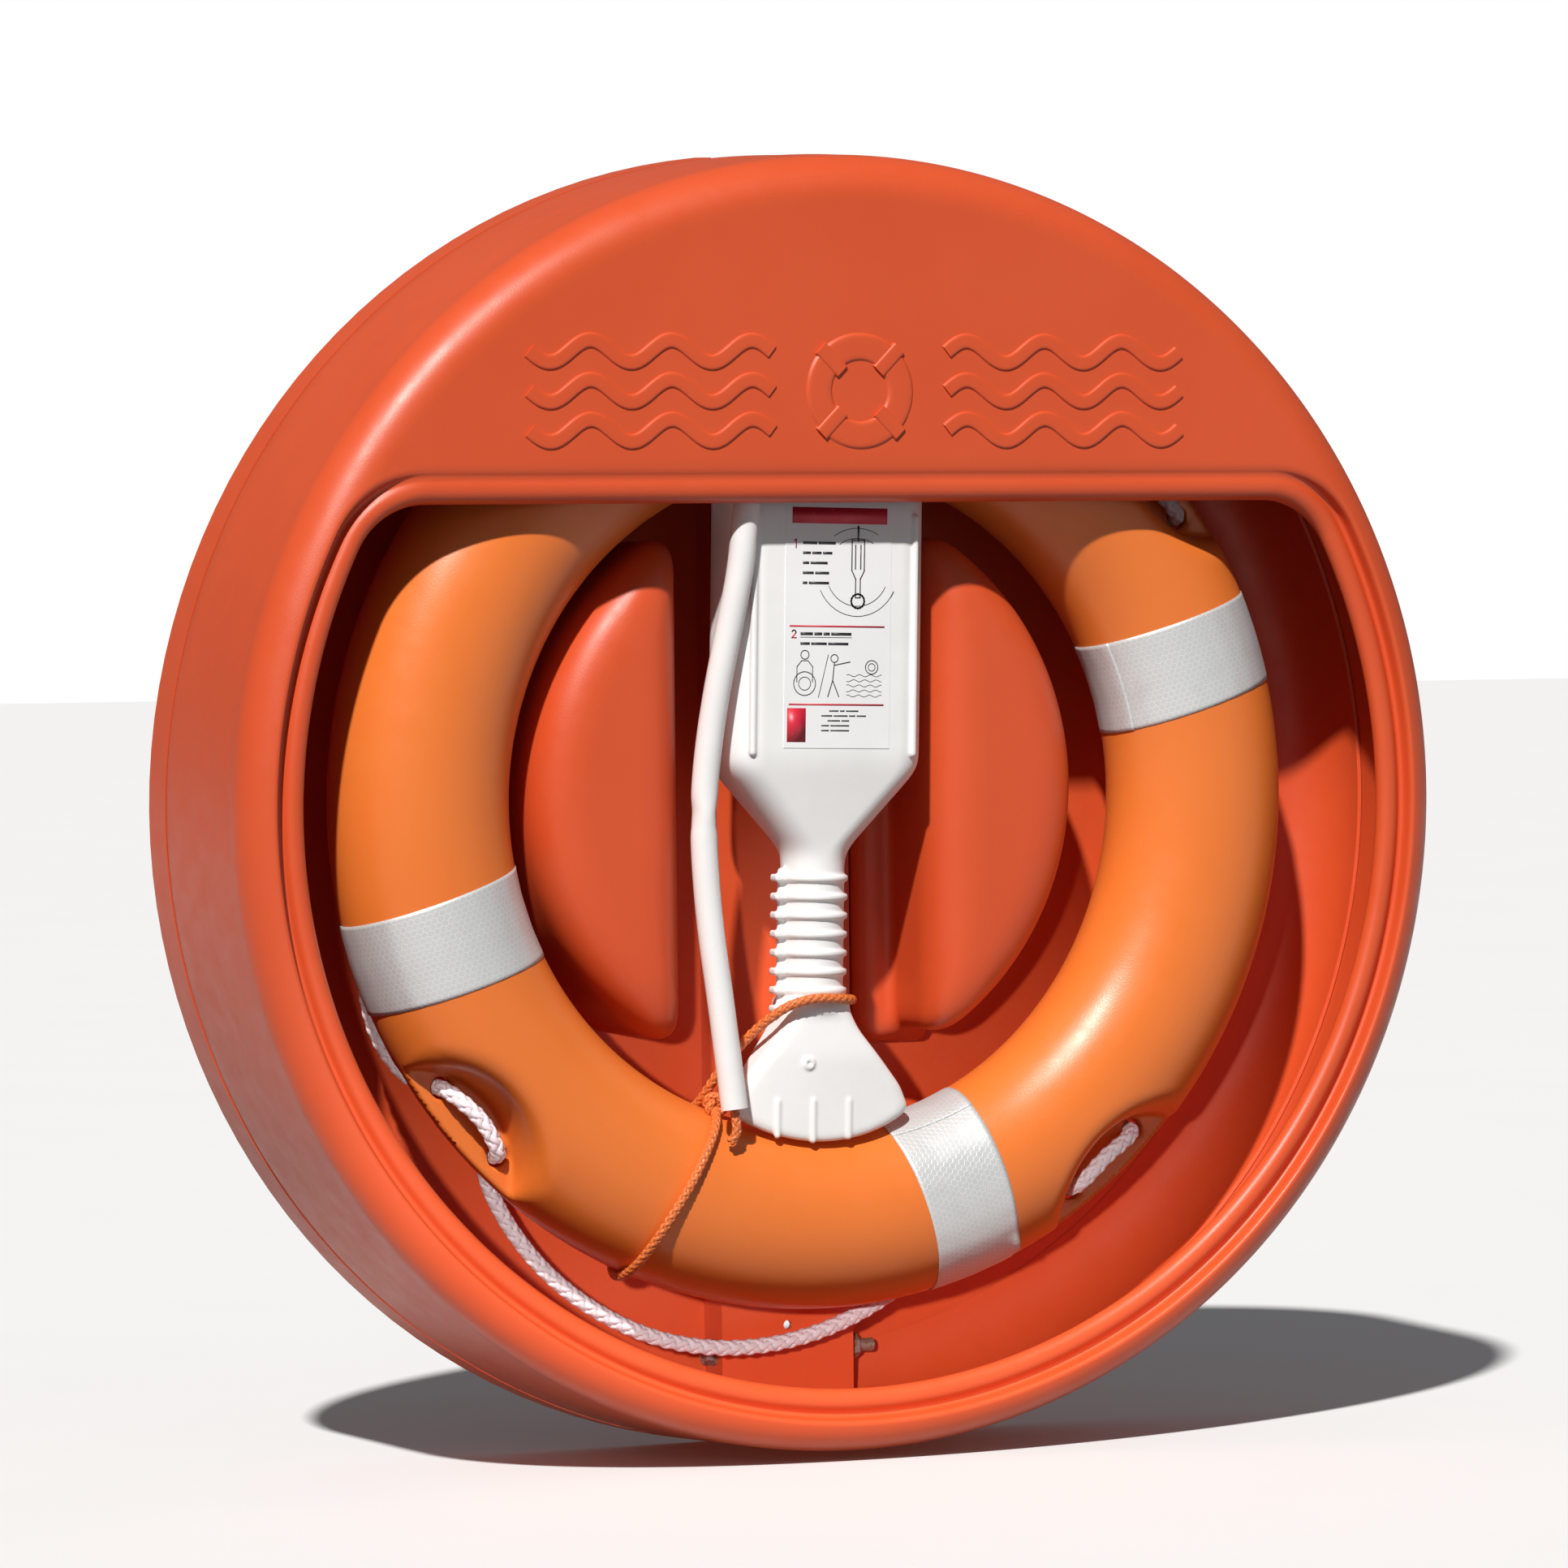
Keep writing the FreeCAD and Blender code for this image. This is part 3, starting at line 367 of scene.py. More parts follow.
def moulded(shape, low, high, step):
    """A closed mesh of the surface where shape(x, y, z) is zero; it is negative inside."""
    axes = [np.arange(a, b + step, step) for a, b in zip(low, high)]
    inside = shape(*np.meshgrid(*axes, indexing="ij")) < 0
    cells = [n - 1 for n in inside.shape]
    count = np.zeros(cells, int)
    for i, j, k in np.ndindex(2, 2, 2):
        count += inside[i:cells[0] + i, j:cells[1] + j, k:cells[2] + k]
    mixed = (count > 0) & (count < 8)
    number = np.full(count.shape, -1)
    number[mixed] = np.arange(mixed.sum())
    points = np.array(low) + (np.argwhere(mixed) + 0.5) * step
    quads = []
    for a in range(3):
        b, c = (a + 1) % 3, (a + 2) % 3
        first = np.take(inside, range(inside.shape[a] - 1), axis=a)
        second = np.take(inside, range(1, inside.shape[a]), axis=a)
        where = np.argwhere(first != second)
        quad = []
        for down_b, down_c in ((1, 1), (0, 1), (0, 0), (1, 0)):
            cell = where.copy()
            cell[:, b] -= down_b
            cell[:, c] -= down_c
            quad.append(number[tuple(cell.T)])
        quad = np.stack(quad, 1)
        hollow = ~first[tuple(where.T)]
        quad[hollow] = quad[hollow][:, ::-1]
        quads.append(quad)
    quads = np.concatenate(quads)
    ends = np.concatenate([quads[:, [i, (i + 1) % 4]] for i in range(4)])
    size = np.bincount(ends[:, 0], minlength=len(points))
    points = project(shape, points, 3)
    for _ in range(4):
        mean = np.stack([
            np.bincount(ends[:, 0], points[ends[:, 1], axis], len(points)) / size for axis in range(3)
        ], 1)
        points = project(shape, 0.5 * points + 0.5 * mean, 1)
    return project(shape, points, 1), quads


def route_points(name, route):
    """Points along the NURBS spline of a route given in metres."""
    curve = bpy.data.curves.new(name + "_route", "CURVE")
    curve.dimensions = "3D"
    spline = curve.splines.new("NURBS")
    spline.points.add(len(route) - 1)
    for point, place in zip(spline.points, route):
        point.co = (*place, 1)
    spline.order_u = 3
    spline.use_endpoint_u = True
    spline.resolution_u = 24
    thing = bpy.data.objects.new(name + "_route", curve)
    bpy.context.scene.collection.objects.link(thing)
    bpy.context.view_layer.update()
    mesh = bpy.data.meshes.new_from_object(thing)
    points = np.array([vertex.co[:] for vertex in mesh.vertices])
    bpy.data.objects.remove(thing)
    bpy.data.curves.remove(curve)
    bpy.data.meshes.remove(mesh)
    return points


def evenly(points, step):
    """The same line, its points a step apart, and how far along each is."""
    runs = np.linalg.norm(np.diff(points, axis=0), axis=1)
    keep = np.concatenate([[True], runs > 1e-7])
    points = points[keep]
    along = np.concatenate([[0], np.cumsum(np.linalg.norm(np.diff(points, axis=0), axis=1))])
    places = np.linspace(0, along[-1], max(2, round(along[-1] / step) + 1))
    return np.stack([np.interp(places, along, points[:, axis]) for axis in range(3)], 1), places


def frames_along(points):
    """Two directions across a line that don't twist along it."""
    tangent = np.gradient(points, axis=0)
    tangent /= np.linalg.norm(tangent, axis=1)[:, None]
    side = np.empty_like(points)
    seed = np.cross(tangent[0], (0, 0, 1))
    if np.linalg.norm(seed) < 0.1:
        seed = np.cross(tangent[0], (0, 1, 0))
    side[0] = seed / np.linalg.norm(seed)
    for i in range(1, len(points)):
        turned = side[i - 1] - tangent[i] * side[i - 1].dot(tangent[i])
        side[i] = turned / np.linalg.norm(turned)
    return side, np.cross(tangent, side)


def swept(points, side, other, wide, thick, sides, along):
    """A tube with an oval section; also its texture coordinates in metres."""
    turn = np.linspace(0, 2 * pi, sides, endpoint=False)
    ring = (
        side[:, None] * (thick * np.cos(turn))[None, :, None]
        + other[:, None] * (wide * np.sin(turn))[None, :, None]
    )
    cloud = (points[:, None] + ring).reshape(-1, 3)
    uv = np.stack([
        np.repeat(along, sides), np.tile(turn / (2 * pi) * pi * (wide + thick), len(points)),
    ], 1)
    faces = grid_faces(len(points), sides, close_columns=True)
    last = (len(points) - 1) * sides
    faces.append(tuple(reversed(range(sides))))
    faces.append(tuple(last + i for i in range(sides)))
    return cloud, faces, uv


def braid(points, along, radius, pitch, sides=8):
    """Eight strands, four turning each way, over and under one another, round a core."""
    side, other = frames_along(points)
    clouds, faces, uvs = [], [], []
    start = 0
    core = 0.62 * radius
    lift = 0.09 * radius
    for way in (1, -1):
        for strand in range(4):
            angle = way * 2 * pi * along / pitch + pi / 2 * strand
            out = side * np.cos(angle)[:, None] + other * np.sin(angle)[:, None]
            reach = core + way * lift * np.cos(8 * pi * along / pitch)
            centre = points + out * reach[:, None]
            run = np.gradient(centre, axis=0)
            run /= np.linalg.norm(run, axis=1)[:, None]
            across = np.cross(run, out)
            across /= np.linalg.norm(across, axis=1)[:, None]
            cloud, quads, uv = swept(centre, out, across, 0.42 * radius, 0.3 * radius, sides, along)
            clouds.append(cloud)
            faces += [tuple(start + i for i in quad) for quad in quads]
            uvs.append(uv + (0.02 * strand, 0.1 * way))
            start += len(cloud)
    cloud, quads, uv = swept(points, side, other, core, core, sides, along)
    clouds.append(cloud)
    faces += [tuple(start + i for i in quad) for quad in quads]
    uvs.append(uv)
    return np.concatenate(clouds), faces, np.concatenate(uvs)


def rope(name, route, radius, pitch, material, body, step):
    """A braided line along a route; returns the piece, its path and its length."""
    points, along = evenly(route_points(name, route), step)
    cloud, faces, uv = braid(points, along, radius, pitch)
    thing = piece(name, cloud, faces, material, body, uv, sharp=0)
    path, _ = evenly(points, PATH_STEP)
    return thing, path, along[-1]


# ---- camera, light

CAMERA_TURN = (-23, 1.5, -0.6)
CAMERA_AIM = (0.0148, 0, 0.0088)
CAMERA_DISTANCE = 4.6
CAMERA_LENS = 173.85
FLOOR_HALF = 30


def add_camera():
    azimuth, elevation, roll = (radians(a) for a in CAMERA_TURN)
    back = Vector((sin(azimuth) * cos(elevation), -cos(azimuth) * cos(elevation), sin(elevation)))
    right = Vector((0, 0, 1)).cross(back).normalized()
    up = back.cross(right)
    tilted = right * cos(roll) + up * sin(roll)
    upright = up * cos(roll) - right * sin(roll)
    camera = bpy.data.objects.new("camera", bpy.data.cameras.new("camera"))
    place = Matrix((tilted, upright, back)).transposed().to_4x4()
    place.translation = Vector(CAMERA_AIM) + back * CAMERA_DISTANCE
    camera.matrix_world = place
    camera.data.sensor_width = 36
    camera.data.lens = CAMERA_LENS
    camera.data.clip_end = 100
    bpy.context.scene.collection.objects.link(camera)
    bpy.context.scene.camera = camera


def add_lamp(name, kind, place, aim, power, colour, **settings):
    data = bpy.data.lights.new(name, kind)
    data.energy = power
    data.color = colour
    for key, value in settings.items():
        setattr(data, key, value)
    lamp = bpy.data.objects.new(name, data)
    lamp.location = place
    lamp.rotation_euler = (Vector(aim) - Vector(place)).to_track_quat("-Z", "Y").to_euler()
    bpy.context.scene.collection.objects.link(lamp)
    return lamp


def add_light():
    """A sun, two fills and a white backdrop. The low fill lights only the housing's inside."""
    add_lamp("key", "SUN", (-1.29, -1.86, 2.22), (0, 0, 0), 4.3, (1, 0.985, 0.95), angle=radians(2))
    add_lamp("fill", "AREA", (2.6, -3.4, 0.6), (0, 0, 0), 4, (0.95, 0.97, 1), shape="DISK", size=2.5)
    low = add_lamp("low_fill", "SPOT", (-1.7, -3.1, 0.2), (-0.01, -0.05, -0.35), 380, (1, 0.99, 0.97),
                   spot_size=radians(13), spot_blend=1.0, shadow_soft_size=0.05)
    inside = bpy.data.collections.new("inside_of_housing")
    for name in ("cover_moulding", "rim_cove", "grab_line_braid"):
        inside.objects.link(bpy.data.objects[name])
    for name in ("back_shell", "post_bolts", "post_nuts", "post_washers"):
        inside.objects.link(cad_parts[name])
    low.light_linking.receiver_collection = inside
    world = bpy.data.worlds.new("studio")
    bpy.context.scene.world = world
    world.use_nodes = True
    nodes, links = world.node_tree.nodes, world.node_tree.links
    ambient = nodes["Background"]
    ambient.inputs["Color"].default_value = (0.95, 0.96, 1, 1)
    ambient.inputs["Strength"].default_value = 0.15
    backdrop = nodes.new("ShaderNodeBackground")
    backdrop.inputs["Color"].default_value = (1, 1, 1, 1)
    choose = nodes.new("ShaderNodeMixShader")
    links.new(nodes.new("ShaderNodeLightPath").outputs["Is Camera Ray"], choose.inputs[0])
    links.new(ambient.outputs[0], choose.inputs[1])
    links.new(backdrop.outputs[0], choose.inputs[2])
    links.new(choose.outputs[0], nodes["World Output"].inputs[0])
    bpy.context.scene.view_settings.view_transform = "Standard"


def add_floor():
    """A wide pale floor under the object, which throws no light back up at it."""
    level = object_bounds()[0][2]
    corners = [(x * FLOOR_HALF, y * FLOOR_HALF, level) for x, y in ((-1, -1), (1, -1), (1, 1), (-1, 1))]
    mesh = bpy.data.meshes.new("floor")
    mesh.from_pydata(corners, [], [(0, 1, 2, 3)])
    look = Look("floor_pale")
    look.done(
        Base_Color=look.mix(look.noise(3), (0.86, 0.86, 0.87), (0.88, 0.88, 0.89)),
        Roughness=look.ramp(look.noise(12), 0, 1, 0.8, 0.9),
    )
    mesh.materials.append(look.material)
    floor = bpy.data.objects.new("floor", mesh)
    bpy.context.scene.collection.objects.link(floor)
    floor.visible_diffuse = False


# ---- housing

ROLL_RADIUS = 26 * MM
ROLL_CENTRE = 357 * MM
ROLL_DEPTH = 129 * MM
STEP_EASE = 1.9
FACE_DEPTH = 155 * MM
COVER_WALL = 4 * MM
SEAM_DEPTH = 25 * MM
SEAM_RADIUS = 388.6 * MM
OPENING_RADIUS = 345 * MM
OPENING_TOP = 178 * MM
OPENING_CORNER = 45 * MM
# The rim's lip, bead and groove: distance out from the opening's edge, depth round
# the sides and depth under the hood.
RIM_SECTION = [
    (0.6, 140.3, 140.3), (0, 141.2, 141.2), (-0.2, 142.8, 143.5), (0, 144.6, 146.2),
    (0.9, 146.8, 149.3), (2.3, 148.3, 151.6), (4.2, 149.3, 153.2), (6.5, 149.6, 154),
    (8.8, 149.2, 154.2), (10.8, 148, 153.9), (12.2, 146.4, 153.5), (13, 145.2, 153.3),
    (13.9, 144.6, 153.2), (15, 144.5, 153.3), (16.1, 144.9, 153.5), (16.8, 146, 153.8),
    (17.2, 148, 154), (17.6, 150.6, 154.2), (18.2, 152.5, 154.4), (19.3, 153.8, 154.7),
]


def opening_outline():
    """Points of the opening's edge, their outward normals and how much each is hood."""
    height = OPENING_TOP - OPENING_CORNER
    middle = sqrt((OPENING_RADIUS - OPENING_CORNER) ** 2 - height ** 2)
    meet = np.arctan2(height, middle)

    def aims(start, end, count):
        turns = np.linspace(start, end, count, endpoint=False)
        return np.stack([np.cos(turns), np.sin(turns)], 1)
    side, left, right = aims(meet, -pi - meet, 340), aims(pi - meet, pi / 2, 30), aims(pi / 2, meet, 30)
    share = np.linspace(0, 1, 30, endpoint=False)
    across = np.linspace(-middle, middle, 110, endpoint=False)
    top = np.stack([across, np.full(110, OPENING_TOP)], 1)
    parts = [
        (side * OPENING_RADIUS, side, np.zeros(340)),
        (left * OPENING_CORNER + (-middle, height), left, share),
        (top, np.tile((0.0, 1.0), (110, 1)), np.ones(110)),
        (right * OPENING_CORNER + (middle, height), right, 1 - share),
    ]
    places, normals, hood = (np.concatenate(part) for part in zip(*parts))
    return places, normals, hood * hood * (3 - 2 * hood)


def face_and_roll(start, roll, steps):
    """From a radius on the face out over the round edge: radius and depth per step."""
    flat = np.maximum(ROLL_CENTRE - start, 0)
    turn = np.where(start > ROLL_CENTRE, np.arccos(np.clip((start - ROLL_CENTRE) / roll, -1, 1)), pi / 2)
    share = 1 - (1 - np.linspace(0, 1, steps)) ** STEP_EASE
    run = share[:, None] * (flat + roll * turn)[None, :]
    angle = turn[None, :] - np.maximum(run - flat, 0) / roll
    radius = np.where(run < flat, start + run, ROLL_CENTRE + roll * np.cos(angle))
    depth = np.where(run < flat, roll, roll * np.sin(angle)) + ROLL_DEPTH
    return radius, depth


# The side wall outside and inside as radius and depth, and the lip's inner side as
# distance out from the opening's edge and depth.
OUTER_WALL = [(383.8, 117), (385, 100), (386.2, 70), (387.8, 40), (388.2, 27.6)]
INNER_WALL = [(384.2, 33), (383, 60), (381.6, 90), (379.8, 117)]
RIM_INSIDE = [(20, 146), (19, 142), (16, 141), (8, 141), (2, 140.4)]
FACE_START = 21 * MM
NOTCH_HALF_WIDTH = 39 * MM
NOTCH_DEPTH = 3.2 * MM


def make_front_cover():
    """The cover as rings of points, from the lip out over the face and back inside."""
    places, normals, hood = opening_outline()
    rings = []

    def ring(place, depth):
        rings.append(np.stack([place[:, 0], -depth * np.ones(len(place)), place[:, 1]], 1))
    for out, depth, hood_depth in RIM_SECTION:
        ring(places + normals * out * MM, (depth + (hood_depth - depth) * hood) * MM)
    edge = places + normals * FACE_START
    start = np.linalg.norm(edge, axis=1)
    aim = edge / start[:, None]
    for radius, depth in zip(*face_and_roll(start, ROLL_RADIUS, 44)):
        ring(aim * radius[:, None], depth)
    notch = np.where(np.abs(aim[:, 0] * SEAM_RADIUS) < NOTCH_HALF_WIDTH, NOTCH_DEPTH, 0)
    for radius, depth in OUTER_WALL:
        ring(aim * radius * MM, depth * MM + notch * (depth < 30))
    ring(aim * (SEAM_RADIUS - 0.8 * MM), SEAM_DEPTH + notch)
    ring(aim * (SEAM_RADIUS - COVER_WALL), SEAM_DEPTH + notch)
    for radius, depth in INNER_WALL:
        ring(aim * radius * MM, depth * MM)
    radius, depth = face_and_roll(start, ROLL_RADIUS - COVER_WALL, 30)
    for row, level in reversed(list(zip(radius, depth))):
        ring(aim * row[:, None], level)
    for out, depth in RIM_INSIDE:
        ring(places + normals * out * MM, depth * MM)
    cloud = np.concatenate(rings)
    faces = [face[::-1] for face in grid_faces(len(rings), len(places), True, True)]
    thing = piece("cover_moulding", cloud, faces, HOUSING, "housing", sharp=0)
    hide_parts("front_cover")


# A stripe's section: shares of its half width and of its height.
RELIEF_SECTION = [
    (-1.16, -0.2), (-1.04, 0.2), (-0.97, 0.7), (-0.86, 0.94), (-0.6, 1), (0, 1),
    (0.6, 1), (0.86, 0.94), (0.97, 0.7), (1.04, 0.2), (1.16, -0.2),
]


def relief(name, line, half_width, closed=False, height=1.3):
    """A raised soft-edged stripe on the hood's face along a line in x and z."""
    line = np.asarray(line)
    ahead = np.roll(line, -1, axis=0) - np.roll(line, 1, axis=0)
    if not closed:
        ahead[0] = line[1] - line[0]
        ahead[-1] = line[-1] - line[-2]
    ahead /= np.linalg.norm(ahead, axis=1)[:, None]
    across = np.stack([-ahead[:, 1], ahead[:, 0]], 1)
    rows = []
    for share, rise in RELIEF_SECTION:
        at = line + across * share * half_width
        rows.append(np.stack([at[:, 0], np.full(len(at), -FACE_DEPTH - rise * height * MM), at[:, 1]], 1))
    count = len(line)
    cloud = np.concatenate(rows)
    faces = grid_faces(len(rows), count, False, closed)
    if not closed:
        for column in (0, count - 1):
            faces.append(tuple(row * count + column for row in range(len(rows))))
    piece(name, cloud, faces, HOUSING, "housing", sharp=50)


SIGN_CENTRE = (0, 243 * MM)
SIGN_RADIUS = 26 * MM
WAVE_LEVELS = (220, 243, 266)
WAVE_START = 56
WAVE_RUN = 152
WAVE_HEIGHT = 6.5
WAVE_COUNT = 3


def make_hood_relief():
    """A plain raised sign: a ring with its four bands, between rows of waves."""
    centre = np.array(SIGN_CENTRE)
    turns = np.linspace(0, 2 * pi, 96, endpoint=False)
    circle = np.stack([np.cos(turns), np.sin(turns)], 1)
    relief("relief_ring", centre + circle * SIGN_RADIUS, 7.5 * MM, True)
    for number in range(4):
        turn = radians(45 + 90 * number)
        aim = np.array((cos(turn), sin(turn)))
        line = [centre + aim * radius * MM for radius in (16.5, 20, 24, 28, 32, 35.5)]
        relief(f"relief_band_{number + 1}", line, 4.5 * MM, height=2.0)
    for side in (-1, 1):
        for row, level in enumerate(WAVE_LEVELS):
            share = np.linspace(0, 1, 90)
            x = side * (WAVE_START + WAVE_RUN * share)
            z = level + WAVE_HEIGHT * np.sin(share * 2 * pi * WAVE_COUNT)
            line = np.stack([x, z], 1) * MM
            side_name = "left" if side < 0 else "right"
            relief(f"relief_wave_{side_name}_{row + 1}", line, 4.2 * MM)


def make_cove():
    """The soft corner between the housing's back and the inside of its rim."""
    turns = np.linspace(0, 2 * pi, 240, endpoint=False)
    rows = []
    reach, inner, behind, base = 44 * MM, 381 * MM, 383 * MM, 4.3 * MM
    for angle in np.linspace(0, 1, 14) * pi / 2:
        rows.append((inner - reach + reach * sin(angle), base + reach - reach * cos(angle)))
    rows += [(behind, 49 * MM), (behind, 4.1 * MM)]
    cloud = [(radius * cos(t), -depth, radius * sin(t)) for radius, depth in rows for t in turns]
    faces = grid_faces(len(rows), len(turns), True, True)
    piece("rim_cove", cloud, faces, HOUSING, "housing", sharp=50)


def make_locator(label, side, flat_x):
    """A D-shaped block with soft edges; the right one has a low step beside it."""
    low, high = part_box(label)
    centre_x, centre_z = -12 * MM, 9 * MM
    radius, half_height, front = 176 * MM, 161 * MM, 112 * MM

    def shape(x, y, z):
        disc = np.hypot(x - centre_x, z - centre_z) - radius
        flat = (flat_x - x) * side
        ends = np.abs(z - centre_z) - half_height
        plan = smooth_max(smooth_max(disc, flat, 22 * MM), ends, 20 * MM)
        solid = smooth_max(plan, -y - front, 34 * MM)
        if side > 0:
            ledge = smooth_max(44 * MM - x, np.abs(z) - 148 * MM, 16 * MM)
            ledge = smooth_max(ledge, -y - 42 * MM, 16 * MM)
            ledge = np.maximum(ledge, x - 90 * MM)
            solid = smooth_min(solid, ledge, 7 * MM)
        return np.maximum(solid, y + 3.6 * MM)
    margin = 6 * MM
    cloud, faces = moulded(shape, [v - margin for v in low], [v + margin for v in high], 2.4 * MM)
    thing = piece(label + "_moulding", cloud, faces, HOUSING, "housing")
    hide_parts(label)


# ---- ring

RECESS_ANGLES = [radians(39.75 + 90 * i) for i in range(4)]
RECESS_CIRCLE = 336.5 * MM
RECESS_RADIUS = 62 * MM
RECESS_SPREAD = 0.2
WEB_HALF = 5 * MM
HOLE_CIRCLE = 291 * MM
HOLE_RADIUS = 6.5 * MM
HOLE_ANGLE = radians(5.35)


def ring_shape(x, y, z):
    """An elliptic ring with four round recesses in each face, and two rope holes
    through the web that each pair of them leaves."""
    x, y, z = x - RING_CENTRE[0], y - RING_CENTRE[1], z - RING_CENTRE[2]
    radius = np.hypot(x, z)
    section = np.hypot((radius - RING_MIDDLE) / RING_HALF_WIDTH, y / RING_HALF_DEPTH)
    solid = (section - 1) * 49 * MM
    deep = np.abs(y)
    # the recesses have crisp edges near the web and rounder ones further out
    soft = (1.2 + 9.8 * np.clip((deep - 9 * MM) / (22 * MM), 0, 1)) * MM
    for angle in RECESS_ANGLES:
        away = np.hypot(x - RECESS_CIRCLE * cos(angle), z - RECESS_CIRCLE * sin(angle))
        wall = (away - RECESS_RADIUS - RECESS_SPREAD * (deep - WEB_HALF)) * 0.98
        recess = smooth_max(WEB_HALF - deep, wall, 2.5 * MM)
        solid = smooth_max(solid, -recess, soft)
        for at in (angle - HOLE_ANGLE, angle + HOLE_ANGLE):
            hole = np.hypot(x - HOLE_CIRCLE * cos(at), z - HOLE_CIRCLE * sin(at)) - HOLE_RADIUS
            solid = smooth_max(solid, -hole, 2 * MM)
    return solid


def make_ring():
    margin = 5 * MM
    cloud, faces = moulded(ring_shape, ring_low - margin, ring_high + margin, 2.5 * MM)
    thing = piece("ring_body", cloud, faces, RING, "lifebuoy", sharp=60)
    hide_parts("ring_shell")


def ring_point(angle, radius, depth):
    """A point from its angle round the ring in degrees, its radius and its depth."""
    turn = radians(angle)
    return (RING_CENTRE[0] + radius * cos(turn), -depth, RING_CENTRE[2] + radius * sin(turn))


TAPE_ANGLE = 18.25
TAPE_LAP = 26
TAPE_HALF_WIDTH = 27.5


def make_tape(number, seam, lift_turn=None):
    """A band wound once round the section with a lap that ends at the seam."""
    angle = TAPE_ANGLE + 90 * (number - 1)
    turns = np.linspace(seam - TAPE_LAP, seam + 360, 190)
    across = np.linspace(-TAPE_HALF_WIDTH, TAPE_HALF_WIDTH, 23) * MM
    end = (turns - (seam + 360 - TAPE_LAP)) / 5
    rise = (0.25 + 0.45 / (1 + np.exp(-end))) * MM
    turn = np.radians(turns)[:, None]
    lift = np.repeat(rise[:, None], len(across), axis=1)
    if lift_turn is not None:
        near = np.exp(-((turns - lift_turn) / 9) ** 2)[:, None]
        lift = lift + 3.4 * MM * near * (np.clip((across - 17 * MM) / (10.5 * MM), 0, 1) ** 2)[None, :]
    ripple = 0.16 * MM * np.sin(turns / 4.7 + number)[:, None] * np.cos(across / (7 * MM))[None, :]
    lift = lift + np.abs(ripple)
    radius = RING_MIDDLE - (RING_HALF_WIDTH + lift) * np.cos(turn)
    depth = (RING_HALF_DEPTH + lift) * np.sin(turn)
    outward = np.sqrt(radius ** 2 - across[None, :] ** 2)
    t = radians(angle)
    x = RING_CENTRE[0] + outward * cos(t) - across[None, :] * sin(t)
    z = RING_CENTRE[2] + outward * sin(t) + across[None, :] * cos(t)
    cloud = np.stack([x, RING_CENTRE[1] - depth, z], 2).reshape(-1, 3)
    along = np.radians(turns) * 50 * MM
    uv = np.stack(np.meshgrid(along, across, indexing="ij"), 2).reshape(-1, 2)
    faces = grid_faces(len(turns), len(across))
    thing = piece(f"tape_{number}", cloud, faces, TAPE, "lifebuoy", uv, sharp=0)
    thick = thing.modifiers.new("thickness", "SOLIDIFY")
    thick.thickness = 0.2 * MM
    thick.offset = -1
    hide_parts(f"reflective_tape_{number}")


def make_grab_line():
    route = [ring_point(angle, radius * MM, depth * MM) for angle, radius, depth in GRAB_ROUTE]
    thing, path, _ = rope(
        "grab_line_braid", route, GRAB_LINE_RADIUS, GRAB_LINE_PITCH, GRAB_ROPE,
        "lifebuoy", 1.6 * MM,
    )
    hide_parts("grab_line")


# ---- line holder

def from_holder(points):
    """Points about the holder's own axis, put where the holder leans."""
    points = np.asarray(points, float)
    x, y, z = points.T
    return np.stack([
        x * cos(HOLDER_TILT) + z * sin(HOLDER_TILT) + HOLDER_AXIS[0],
        y + HOLDER_AXIS[1],
        z * cos(HOLDER_TILT) - x * sin(HOLDER_TILT),
    ], 1)


def softened(heights, values, reach):
    """A polyline of value against height with its corners rounded off, as a function."""
    fine = np.linspace(heights[0] - 60, heights[-1] + 60, 1200) * MM
    rough = np.interp(fine, np.array(heights) * MM, np.array(values) * MM)
    width = max(3, round(reach * MM / (fine[1] - fine[0])))
    kernel = np.hanning(width + 2)
    kernel /= kernel.sum()
    padded = np.pad(rough, width, mode="edge")
    smooth = np.convolve(padded, kernel, mode="same")[width:-width]
    return lambda z: np.interp(z, fine, smooth)


# The holder's sizes against height: its own half width and half thickness, and the
# fan's half width, front and back.
HALF_WIDTH = softened([-123, -29, 21, 184], [19, 19, 62, 62], 26)
HALF_THICK = softened([-123, -30, 26, 184], [19, 19, 29, 29], 30)
FAN_WIDTH = softened([-204, -182, -168, -152, -134, -122, -100], [60, 59, 53, 40, 25, 19, 19], 14)
FAN_FRONT = softened([-204, -150, -121, -100], [22, 22, 19, 19], 16)
FAN_BACK = softened([-203, -176, -121, -100], [-17, -5, 19, 19], 16)
CORNER = 19 * MM
RIB_COUNT = 8
RIB_TOP = -44.4
RIB_PITCH = 11.1
GATE_MARK = (-10 * MM, -153.6 * MM)


def capsule(x, y, z, start, end, radius):
    """Distance from a short round bar."""
    start, end = np.array(start) * MM, np.array(end) * MM
    run = end - start
    x, y, z = x - start[0], y - start[1], z - start[2]
    share = np.clip((x * run[0] + y * run[1] + z * run[2]) / run.dot(run), 0, 1)
    away = (x - share * run[0]) ** 2 + (y - share * run[1]) ** 2 + (z - share * run[2]) ** 2
    return np.sqrt(away) - radius * MM


# Each bead across the fan's front: its x, its top and its foot.
FAN_BEADS = [(-29, -176, -196), (-6.5, -176, -199), (16.5, -176, -197)]


